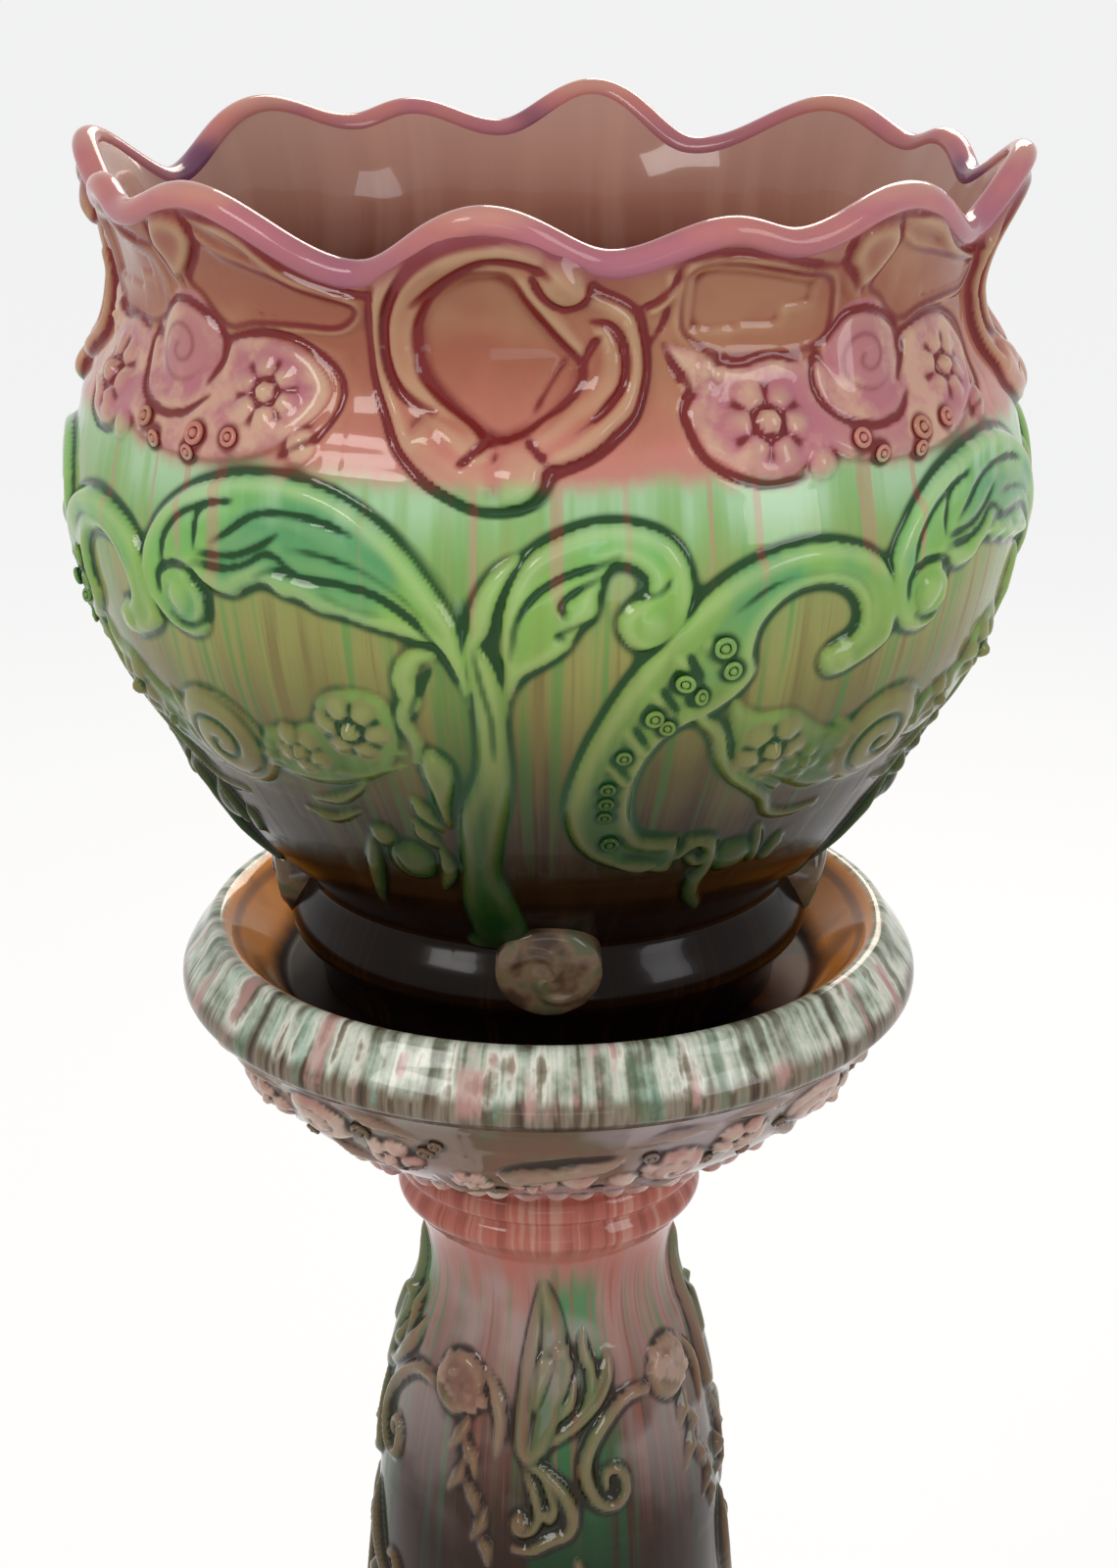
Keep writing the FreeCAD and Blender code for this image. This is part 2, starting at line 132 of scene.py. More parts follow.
# Meshes: columns round the axis, the size of a cell along each line, and the rows over which carving
# fades at the ends of a stretch
BOWL_COLUMNS = 960
BOWL_CELL = 1.3
INSIDE_CELL = 6
INSIDE_NECK_ROWS = 21
HOLLOW_COLUMNS = 96
HOLLOW_CELL = 5
LIP_STEPS = 720
FADE_ROWS = 5
POLE_EDGE = 0.0001
SAME_PLACE = 1e-6

# The buttons on the foot: their size and the rise of dome, curl and knob; their middle above the
# deck; how far face and back stand from the axis; and how far the face leans upwards, in degrees
ROSETTE_RADIUS = 20.5
ROSETTE_DOME = 4.0
ROSETTE_CURL = 1.5
ROSETTE_KNOB = 1.6
ROSETTE_KNOB_SHARE = 0.34
ROSETTE_HEIGHT = 46.0
ROSETTE_FACE = 113.0
ROSETTE_BACK = 94.0
ROSETTE_LEAN = 13.0
ROSETTE_COLUMNS = 96
ROSETTE_FACE_ROWS = 26
ROSETTE_WALL_ROWS = 5

# How far a ringed bead stands off its surface, as a share of its radius
RING_LIFT = 0.2

# Heights between which each glaze changes colour, in mm
BODY_SPAN = (650, 930)
NECK_SPAN = (890, 1000)
INSIDE_SPAN = (700, 1000)
STAND_SPAN = (0, 660)
# Where the shaft's green runs lie beside each spear leaf, round the axis four times over
LEAF_TURN = math.radians(32)

# The camera, as the photograph's stood, the point that the lamps face, and the floor: in metres and
# degrees
CAMERA_PLACE = (0, -1.1016, 1.1422)
CAMERA_TILT = 69.64
CAMERA_TURN = -0.218
CAMERA_LENS = 65.1
SENSOR_WIDTH = 36.0
LAMP_AIM = (0, 0, 0.78)
FLOOR_REACH = 30.0
FLOOR_WHITE = 0.8
WHITE = (1.0, 1.0, 1.0, 1.0)


# ---- Turned surfaces and the relief carved on them ----------------------------------------------

def smooth_line(points, steps=6, closed=False):
    """A smooth line through given points, as an array of places."""
    knots = np.array(points, float)
    if closed:
        before, first, last, after = (np.roll(knots, shift, axis=0) for shift in (1, 0, -1, -2))
    else:
        padded = np.vstack([2 * knots[0] - knots[1], knots, 2 * knots[-1] - knots[-2]])
        before, first, last, after = padded[:-3], padded[1:-2], padded[2:-1], padded[3:]
    line = []
    for share in np.arange(steps) / steps:
        line.append(0.5 * (2 * first + (last - before) * share
                           + (2 * before - 5 * first + 4 * last - after) * share ** 2
                           + (3 * first - before - 3 * last + after) * share ** 3))
    line = np.stack(line, axis=1).reshape(-1, knots.shape[1])
    return line if closed else np.vstack([line, knots[-1:]])


def even_rows(line, spacing):
    """A (radius, height) line cut into equal steps of about the spacing."""
    dense = smooth_line(line, 16)
    run = np.concatenate([[0], np.cumsum(np.hypot(*np.diff(dense, axis=0).T))])
    places = np.linspace(0, run[-1], int(round(run[-1] / spacing)) + 1)
    return np.stack([np.interp(places, run, dense[:, 0]), np.interp(places, run, dense[:, 1])], axis=1)


def ease(share):
    """A step from 0 to 1 that starts and ends level."""
    share = np.clip(share, 0, 1)
    return share * share * (3 - 2 * share)


def wave(degrees):
    """Reach and drop of the rim at angles, easing from each crest or valley to the next."""
    stations = np.array(WAVE + ((WAVE[0][0] + QUARTER,) + WAVE[0][1:],))
    place = (degrees - stations[0, 0]) % QUARTER + stations[0, 0]
    index = np.clip(np.searchsorted(stations[:, 0], place, "right") - 1, 0, len(WAVE) - 1)
    before, after = stations[index], stations[index + 1]
    share = 0.5 - 0.5 * np.cos(np.pi * (place - before[..., 0]) / (after[..., 0] - before[..., 0]))
    rim = before[..., 1:] + share[..., None] * (after[..., 1:] - before[..., 1:])
    return rim[..., 0], rim[..., 1]


def blurred(field, cells, repeats):
    """The field softened over some cells each way. It closes on itself across its columns."""
    steps = np.arange(-int(3 * cells), int(3 * cells) + 1)
    weights = np.exp(-0.5 * (steps / cells) ** 2)
    weights /= weights.sum()
    reach = len(steps) // 2
    wrapped = np.pad(field, ((0, 0), (reach, reach)), mode="wrap" if repeats else "edge")
    wide = sum(w * wrapped[:, i:i + field.shape[1]] for i, w in enumerate(weights))
    tall = np.pad(wide, ((reach, reach), (0, 0)), mode="edge")
    return sum(w * tall[i:i + field.shape[0]] for i, w in enumerate(weights))


class Relief:
    """Carving over one repeat of a turned surface: how far it rises, in mm, and its kinds.

    Rows run up the surface and columns run round it. Shapes are laid on by their places in degrees
    and heights, and distances are measured straight across the surface, in mm.
    """

    def __init__(self, degrees, heights, line, repeat=QUARTER):
        self.degrees, self.heights = np.broadcast_arrays(degrees, heights)
        order = np.argsort(line[:, 1])
        self.line = line[order]
        self.radii = self.radius_at(self.heights)
        self.repeat = repeat
        self.rise = np.zeros(self.heights.shape)
        self.band = np.zeros(self.heights.shape)
        self.bloom = np.zeros(self.heights.shape)
        self.ink = np.zeros(self.heights.shape)

    def radius_at(self, heights):
        return np.interp(heights, self.line[:, 1], self.line[:, 0])

    def near(self, line, margin):
        """The grid points near a line, and both as places in space, turned to face the front."""
        middle = 0.5 * (line[:, 0].min() + line[:, 0].max())
        turned = (self.degrees - middle + self.repeat / 2) % self.repeat - self.repeat / 2
        widest = np.abs(line[:, 0] - middle).max() + math.degrees(margin / self.radii.min())
        spot = (np.abs(turned) <= widest) & (self.heights >= line[:, 1].min() - margin)
        spot &= self.heights <= line[:, 1].max() + margin
        return spot, turned[spot], line[:, 0] - middle

    def placed(self, degrees, heights):
        radii = self.radius_at(heights)
        angles = np.radians(degrees)
        return np.stack([radii * np.sin(angles), radii * np.cos(angles), heights], axis=-1)

    def distances(self, line, margin, closed=False):
        """Distance to a line, and how far along it the nearest point is, for the points near it."""
        spot, turned, bearings = self.near(line, margin)
        places = self.placed(turned, self.heights[spot])
        route = self.placed(bearings, line[:, 1])
        if closed:
            route = np.vstack([route, route[:1]])
        nearest = np.full(len(places), 1e9)
        along = np.zeros(len(places))
        lengths = np.linalg.norm(np.diff(route, axis=0), axis=1)
        runs = np.concatenate([[0], np.cumsum(lengths)])
        for index, length in enumerate(lengths):
            if length < 1e-6:
                continue
            edge = (route[index + 1] - route[index]) / length
            offset = places - route[index]
            travel = np.clip(offset @ edge, 0, length)
            gap = np.linalg.norm(offset - travel[:, None] * edge, axis=1)
            closer = gap < nearest
            nearest[closer] = gap[closer]
            along[closer] = (runs[index] + travel[closer]) / runs[-1]
        return spot, nearest, along

    def inside(self, line, spot, margin=0.0):
        """Which of the chosen points lie inside a closed outline."""
        _, turned, bearings = self.near(line, margin)
        tall = self.heights[spot]
        within = np.zeros(len(turned), bool)
        for here, there in zip(range(len(line)), np.roll(range(len(line)), -1)):
            low, high = line[here, 1], line[there, 1]
            crosses = (low > tall) != (high > tall)
            with np.errstate(divide="ignore", invalid="ignore"):
                cut = bearings[here] + (tall - low) / (high - low) * (bearings[there] - bearings[here])
            within ^= crosses & (turned < cut)
        return within

    def lay(self, spot, shape, on, kinds):
        """Put a shape on the relief: on top of what is there, or blended with it at its height."""
        if on:
            self.rise[spot] += shape
        else:
            there = self.rise[spot]
            blend = np.clip(0.5 + 0.5 * (shape - there), 0, 1)
            self.rise[spot] = there + blend * (shape - there) + 0.5 * blend * (1 - blend)
        cover = ease(shape / 1.2)
        for kind in kinds:
            field = getattr(self, kind)
            field[spot] = np.maximum(field[spot], cover)

    def pad(self, points, rise, edge, on=False, kinds=("band",), hollow=0.0):
        """A raised field inside an outline, with a rounded edge and a hollow middle."""
        line = smooth_line(points, closed=True)
        spot, gap, _ = self.distances(line, edge, closed=True)
        within = self.inside(line, spot, edge)
        share = np.clip(np.where(within, gap, 0) / edge, 0, 1)
        shape = rise * (1 - (1 - share) ** 2)
        shape -= hollow * ease((gap - edge) / (2 * edge)) * within
        self.lay(spot, shape, on, kinds)

    def rib(self, points, width, rise, on=False, kinds=("band",)):
        """A rounded ridge along a line. Width is a number, or a list spread along the line."""
        line = smooth_line(points)
        widths = np.atleast_1d(width).astype(float)
        spot, gap, along = self.distances(line, widths.max())
        across = np.interp(along, np.linspace(0, 1, len(widths)), widths) / 2
        lift = rise * np.minimum(1, 2 * across / widths.max())
        shape = lift * np.clip(1 - (gap / np.maximum(across, 0.01)) ** 2, 0, 1) ** 0.75
        self.lay(spot, shape, on, kinds)

    def groove(self, points, width=3.0, depth=1.3, ink=0.8):
        """A cut line with soft sides, in which the glaze pools dark."""
        line = smooth_line(points)
        spot, gap, along = self.distances(line, width)
        fade = ease(6 * along) * ease(6 * (1 - along))
        soft = np.clip(1 - (gap / (width / 2)) ** 2, 0, 1) ** 1.5 * (0.35 + 0.65 * fade)
        self.rise[spot] -= depth * soft
        self.ink[spot] = np.maximum(self.ink[spot], ink * np.sqrt(soft))

    def ball(self, place, radius, rise, on=False, kinds=("band",), tall=1.0):
        """A dome, stretched upwards by tall."""
        line = np.array([place], float)
        spot, turned, _ = self.near(line, radius * max(tall, 1))
        across = self.placed(turned, self.heights[spot]) - self.placed(np.zeros(1), line[:, 1])
        across[:, 2] /= tall
        gap = np.linalg.norm(across, axis=1) / radius
        self.lay(spot, rise * np.clip(1 - gap ** 2, 0, 1) ** 0.8, on, kinds)

    def polar(self, place, radius):
        """Distances, as shares of a radius, and bearings round a place on the surface."""
        line = np.array([place], float)
        spot, turned, _ = self.near(line, radius)
        across = self.placed(turned, self.heights[spot]) - self.placed(np.zeros(1), line[:, 1])
        away = np.hypot(across[:, 1], across[:, 2]) * np.sign(across[:, 2])
        return spot, np.linalg.norm(across, axis=1) / radius, np.arctan2(away, across[:, 0])

    def flower(self, place, radius, rise, petals=5, turn=0.0, kinds=("bloom",)):
        """An open flower: petals with a crease down each gap, round a button."""
        spot, gap, bearing = self.polar(place, radius)
        scallop = np.abs(np.cos(0.5 * petals * bearing + turn))
        edge = 0.7 + 0.3 * scallop ** 0.6
        petal = np.sqrt(np.clip(1 - (gap / edge) ** 2, 0, 1))
        shape = rise * petal * (0.55 + 0.45 * scallop ** 0.5)
        shape -= 0.5 * rise * np.clip(1 - ((gap - 0.3) / 0.09) ** 2, 0, 1)
        shape += 0.45 * rise * np.sqrt(np.clip(1 - (gap / 0.22) ** 2, 0, 1))
        self.lay(spot, shape, False, kinds)
        cut = ease(4 * gap - 1) * (1 - scallop) ** 3 * (gap < edge)
        self.ink[spot] = np.maximum(self.ink[spot], 0.7 * cut)

    def rose(self, place, radius, rise, turns=2.4, turn=0.0, kinds=("bloom",)):
        """A rolled rose: a dome with one spiral fold."""
        spot, gap, bearing = self.polar(place, radius)
        dome = np.sqrt(np.clip(1 - gap ** 2, 0, 1))
        fold = np.cos(2 * np.pi * (turns * gap) - bearing + turn)
        ring = np.clip(fold, 0, 1) ** 4 * ease((1 - gap) * 8)
        self.lay(spot, rise * dome * (1 - 0.35 * ring), False, kinds)
        self.ink[spot] = np.maximum(self.ink[spot], 0.75 * ring)

    def ink_round(self, place, radius):
        """Dark glaze pooled round the foot of a bead."""
        spot, gap, _ = self.polar(place, radius + 2.4)
        pooled = ease((1 - gap) * 4)
        self.ink[spot] = np.maximum(self.ink[spot], 0.8 * pooled)

    def finished(self, cell, soften=0.95, reach=3.0, deep=0.8, high=0.7):
        """Soften the carving as glaze does, and mark where the glaze pools and where it thins."""
        self.rise = blurred(self.rise, soften / cell, True)
        around = blurred(self.rise, reach / cell, True)
        hollows = np.clip((around - self.rise) / deep - 0.15, 0, 1)
        self.pool = np.clip(hollows + blurred(self.ink, 0.8, True), 0, 1)
        self.thin = np.clip((self.rise - around) / high, 0, 1)

    def marks(self):
        """What the glaze reads, repeated all round."""
        return {name: np.tile(getattr(self, name), (1, 4)) for name in ("pool", "thin", "band", "bloom")}


# ---- Ornament of the bowl: one quarter, from medallion to medallion -------------------------------

def carve_trunk(relief):
    """The stem that rises from the foot and parts into the two leaf scrolls."""
    relief.pad([
        (-17.5, 704), (-15.4, 714), (-14.5, 735), (-13, 757), (-11.8, 780), (-9, 798), (-8.2, 815),
        (-8.4, 832), (-9.2, 850), (-8.2, 858), (-6.4, 850), (-4.6, 838), (-4.5, 820), (-4.3, 800),
        (-5, 782), (-6.2, 765), (-6.8, 750), (-5, 733), (-3.2, 714), (-0.8, 704),
    ], 4.2, 6, hollow=0.6)
    relief.groove([(-7.9, 852), (-7.1, 838), (-6.2, 824), (-6.1, 808)], 2.6, 1.2)
    relief.pad([
        (-8.2, 850), (-8.3, 862), (-7, 873), (-5, 880.5), (-2.6, 884), (-3.8, 876), (-5.2, 866),
        (-6.2, 856),
    ], 3.2, 3)


def carve_left_scroll(relief):
    """The large acanthus scroll that leaves the stem to the left and curls round a ball."""
    outer = [
        (-8.6, 846), (-9.6, 860), (-12, 872), (-15, 883.5), (-19, 893.5), (-24, 901), (-30, 904),
        (-36, 902), (-42, 896), (-46.4, 887), (-49.4, 876), (-50.6, 864), (-49.6, 851), (-46.8, 842.5),
        (-43.6, 840), (-41, 843), (-39.8, 851),
    ]
    under = [
        (-40.2, 859), (-41.6, 864), (-39.6, 861.5), (-37.6, 859.8), (-35.4, 860.5), (-33.8, 864),
        (-31.4, 866.6), (-29.4, 863.4), (-27.2, 863), (-25, 859.6), (-22.4, 859), (-19.6, 856.6),
        (-15, 853.4), (-11.8, 850), (-9.6, 838), (-8.6, 826),
    ]
    relief.pad(outer + under, 3.6, 3.2, hollow=1.3)
    relief.rib([
        (-8.6, 838), (-10.6, 858), (-13.6, 870), (-17.6, 881), (-22.4, 889.5), (-28.6, 894.6), (-35, 894.4),
        (-40.6, 889), (-45, 880), (-47.6, 869), (-47.6, 857), (-45, 848),
    ], [9, 16, 20, 20, 18, 15, 12, 9, 6], 1.2, on=True)
    relief.groove([
        (-9.7, 838), (-11.4, 850), (-14.2, 860.5), (-17.4, 867), (-21, 870), (-25.6, 870.8), (-30, 872),
        (-32.4, 869),
    ], 3.0, 1.5)
    relief.groove([(-13, 862), (-15.6, 869), (-20, 876.5), (-25, 879.6), (-28.6, 880)], 2.6, 0.8, 0.5)
    relief.groove([
        (-20.6, 887.4), (-24.4, 890.6), (-29, 891.8), (-33, 889.4), (-36, 883), (-38.8, 877.4),
    ], 2.8)
    relief.groove([(-29.6, 884.4), (-32, 879.6), (-35.6, 874.6), (-40.6, 873)], 3.0)
    relief.groove([(-27.6, 873), (-30.8, 877.4), (-33.8, 872.2), (-37, 869.6), (-41.4, 869.4)], 2.6)
    relief.groove([(-35.6, 893), (-39.4, 890.4), (-41, 884), (-41.3, 874)], 2.6)
    relief.groove([(-38.8, 891.6), (-43.4, 885), (-46, 875.6), (-46.8, 864)], 2.8)
    relief.groove([(-17, 861), (-20.6, 862.6), (-24.4, 866.4)], 2.4, 0.8, 0.5)
    relief.groove([
        (-47.4, 855), (-47.2, 862.4), (-44.4, 867), (-41.4, 865.6), (-39.9, 858), (-40.4, 849),
        (-43.4, 844.6), (-46, 848),
    ], 3.2, 2.0)
    relief.ball((-43.7, 855.6), 9.4, 5.2)


def carve_right_scroll(relief):
    """The smaller scroll to the right of the stem, with a curled leaf inside it."""
    relief.pad([
        (-4.5, 822), (-4.9, 842), (-4.9, 858), (-4.2, 872), (-2.2, 883.4), (1, 890), (5, 894), (9.2, 893.4),
        (12.8, 888.4), (14.8, 878.6), (15.1, 866), (13.8, 856), (11.4, 850.4), (9.3, 850), (7.8, 854.4),
        (7.2, 860.6), (8.2, 866.4), (9.8, 869.6), (10.2, 874.6), (9, 879), (7.2, 880.6), (5.9, 877.4),
        (5.3, 871), (4.9, 863.4), (3, 857), (2.2, 851.4), (0, 845.8), (-2.8, 840), (-4.1, 831),
    ], 3.6, 3, hollow=0.9)
    relief.rib([
        (-4.6, 850), (-3.4, 868), (-0.6, 880), (4, 887.4), (9, 887), (12, 880.6), (12.8, 870), (12, 861),
    ], [8, 11, 13, 13, 12, 11, 8], 1.0, on=True)
    relief.groove([(-3.9, 848), (-3.3, 861), (-1.6, 870), (1.4, 876.6), (5, 880.2), (7.4, 883.4)], 3.0, 1.5)
    relief.groove([(5.4, 876.4), (3.2, 872.6), (1.4, 868), (1.8, 863)], 2.8, 1.4)
    relief.groove([(4.6, 861.6), (2.4, 859.4), (0.9, 856.6), (1.9, 855)], 2.4, 1.2)
    relief.groove([(9.8, 869.4), (11.6, 870.6), (12.6, 875)], 2.4, 1.0)
    relief.ball((10.9, 859.6), 9.6, 4.8)


def carve_c_scroll(relief):
    """The large C-scroll on the right, which carries a row of rings."""
    relief.pad([
        (18.4, 749), (15, 750), (11.6, 752), (7.8, 755.6), (4.5, 762.4), (2.5, 773), (2.1, 786), (3.2, 802),
        (5.2, 819), (8, 836), (11, 849.4), (13.8, 860), (16.4, 868), (20.4, 876), (25.2, 881), (30.2, 882),
        (35, 878.4), (38.4, 872), (40.3, 862), (41.2, 851), (41, 841.4), (39, 836.4), (36.5, 833),
        (34, 830.4), (32, 832.2), (31.1, 838), (31.9, 842.6), (34, 844.4), (35.5, 848.6), (35.3, 856.6),
        (33.4, 863.6), (30, 867), (26.2, 864.6), (23.3, 856.4), (22.5, 846), (23, 837.4), (21.4, 830),
        (18.6, 823.6), (16.6, 821), (13.5, 815), (11.2, 803), (10.4, 790), (10.9, 778), (12.6, 770),
        (15.2, 767.4), (18.4, 766), (19, 757.6),
    ], 3.6, 3, hollow=0.8)
    relief.rib([
        (16, 754), (9.6, 759.6), (5.8, 768), (4.3, 784), (5.3, 801), (7.4, 819), (10.4, 836), (13.6, 850),
        (17, 862), (21.4, 871.6), (26.4, 875.6), (31, 874.6), (35, 869), (37.6, 859), (38.2, 848),
        (36.6, 840),
    ], [7, 8, 8, 8, 8, 9, 11, 12, 13, 13, 12, 10, 8], 0.9, on=True)
    relief.groove([
        (19.6, 862), (24, 869.6), (29.6, 871.8), (34, 868), (36.4, 860), (37, 851),
    ], 2.4, 0.8, 0.4)
    relief.ball((34.2, 838), 7.6, 4.6)
    for degrees, height, size in (
            (14.8, 842, 1.0), (18, 846.4, 1.0), (12.3, 829.6, 0.9), (15.5, 834.4, 0.9), (9.6, 815, 0.9),
            (8, 801, 0.8)):
        relief.rib([(degrees - 1, height + 5 * size), (degrees + 1, height - 5 * size)], 3.4, 1.6, on=True)
        relief.groove([(degrees - 0.1, height + 6 * size), (degrees + 1.9, height - 4 * size)], 2.6, 0.5)
    relief.pad([(9.4, 757.6), (12.4, 759.4), (15.6, 755.6), (12.6, 752.8)], 1.8, 2, on=True)


def carve_panel(relief):
    """The rib that closes the oval panel beside the C-scroll, and the curl below it."""
    relief.rib([
        (16.8, 822.6), (19.6, 814), (21, 803), (23.2, 794), (26.4, 787), (29.4, 780), (31.6, 771.6),
        (36, 768), (41, 768.6),
    ], [5, 6, 5.4, 5, 4, 3], 3.4)
    relief.rib([(23.6, 815), (22.6, 806), (24, 797), (27.6, 789.6), (31, 784)], [3, 4, 3], 2.4)
    relief.rib([
        (18.8, 757), (20.8, 762.6), (23, 762), (24, 756.6), (22.6, 752), (21.2, 755),
    ], [6, 7, 5], 4.2)
    relief.rib([
        (20.2, 764), (23.8, 761), (24.4, 750), (23.6, 741), (24.8, 732), (27.6, 724),
    ], [5, 7, 7, 4], 4.2)
    relief.ball((28.6, 752), 10, 3.8)
    relief.pad([(31, 766), (33, 760), (34, 750), (33.2, 745), (31.4, 752)], 3.2, 2.4)
    relief.pad([(36, 757), (38.4, 754), (37, 745), (34.8, 746)], 2.4, 2.4)


def carve_flowers(relief):
    """The flower clusters between the scrolls, low on the body."""
    relief.pad([
        (20.6, 829), (24, 821.4), (29, 820), (32.2, 813.6), (35.4, 808.4), (39, 809.4), (42.6, 812),
        (46, 800), (44, 782), (37, 779), (31, 786), (26, 793), (23, 802), (21, 815),
    ], 2.0, 4)
    relief.flower((27.2, 804.6), 16, 4.6, 5, 0.5)
    relief.flower((33.2, 795), 10, 3.8, 4, 0.2, kinds=("band",))
    for points in (
            [(33, 806), (36.6, 804), (40, 797), (42, 788)],
            [(34, 797), (37.4, 793), (41, 783)],
            [(36.6, 810), (39.6, 803), (40.4, 796)]):
        relief.rib(points, [3, 8, 4], 3.6)
        relief.groove(points, 1.8, 0.7, 0.4)
    relief.rose((-44.4, 797.4), 23, 5.4, 2.2, 1.0)
    relief.pad([
        (-36.4, 807), (-33, 810), (-29.6, 813.6), (-27.6, 816.6), (-27.2, 824), (-25, 829.4),
        (-21.4, 831.4), (-18.4, 829), (-17.2, 820), (-17.6, 808), (-20, 796), (-26, 788), (-33, 786),
        (-38, 792),
    ], 2.0, 4)
    relief.flower((-22.8, 815.4), 15.5, 5.2, 6, 0.3)
    relief.flower((-31, 801.6), 12.5, 4.2, 5, 0.9)
    relief.flower((-36.2, 796.6), 9, 3.4, 4, 0.4, kinds=("band",))
    for place in ((27.2, 804.6), (-22.8, 815.4)):
        relief.ball(place, 3.4, 0.6, on=True, kinds=("bloom",))


def carve_tendrils(relief):
    """Leaves, tendrils and fruit beside the stem, which run down into the dark glaze."""
    relief.rib([
        (-12.4, 847.6), (-14.4, 846), (-15.7, 838), (-15.3, 829), (-16.4, 821), (-15.3, 812), (-15.6, 803),
    ], [4, 8, 9, 6, 5, 4], 3.4)
    relief.groove([(-12.6, 842), (-14, 834), (-15, 827), (-15.4, 822)], 2.4, 1.0)
    relief.pad([
        (-14.6, 808), (-13.4, 809), (-11.5, 803.4), (-11.4, 795), (-12.4, 784), (-13.2, 771), (-14.2, 777),
        (-14.8, 790), (-15.3, 800),
    ], 4.0, 3.4)
    for points in (
            [(-30.6, 789), (-26.4, 795), (-22.6, 795.4), (-17, 801)],
            [(-25.6, 799), (-21, 806.6), (-17, 806)],
            [(-33.4, 776.6), (-28.6, 779.6), (-25, 786), (-23, 792.4)],
            [(-36, 770), (-31, 769), (-26, 775)]):
        relief.rib(points, [1.6, 4.4, 3.2, 1.6], 3.0)
    for points in (
            [(-17.4, 785), (-16, 777), (-14.6, 770)],
            [(-18.2, 774), (-16.8, 766), (-15.2, 761)],
            [(-15.4, 760), (-15, 750), (-17, 739)],
            [(-26, 763), (-27.2, 752), (-29, 738), (-31.6, 724)]):
        relief.rib(points, [3, 8, 6, 2], 3.8)
    relief.ball((-20.6, 753.4), 9.6, 4.4, tall=1.4)
    relief.ball((-23.8, 764.6), 5.4, 4.0, tall=1.3)
    relief.groove([(-23, 757), (-21.4, 749), (-18.6, 747)], 2.4, 0.9, 0.5)


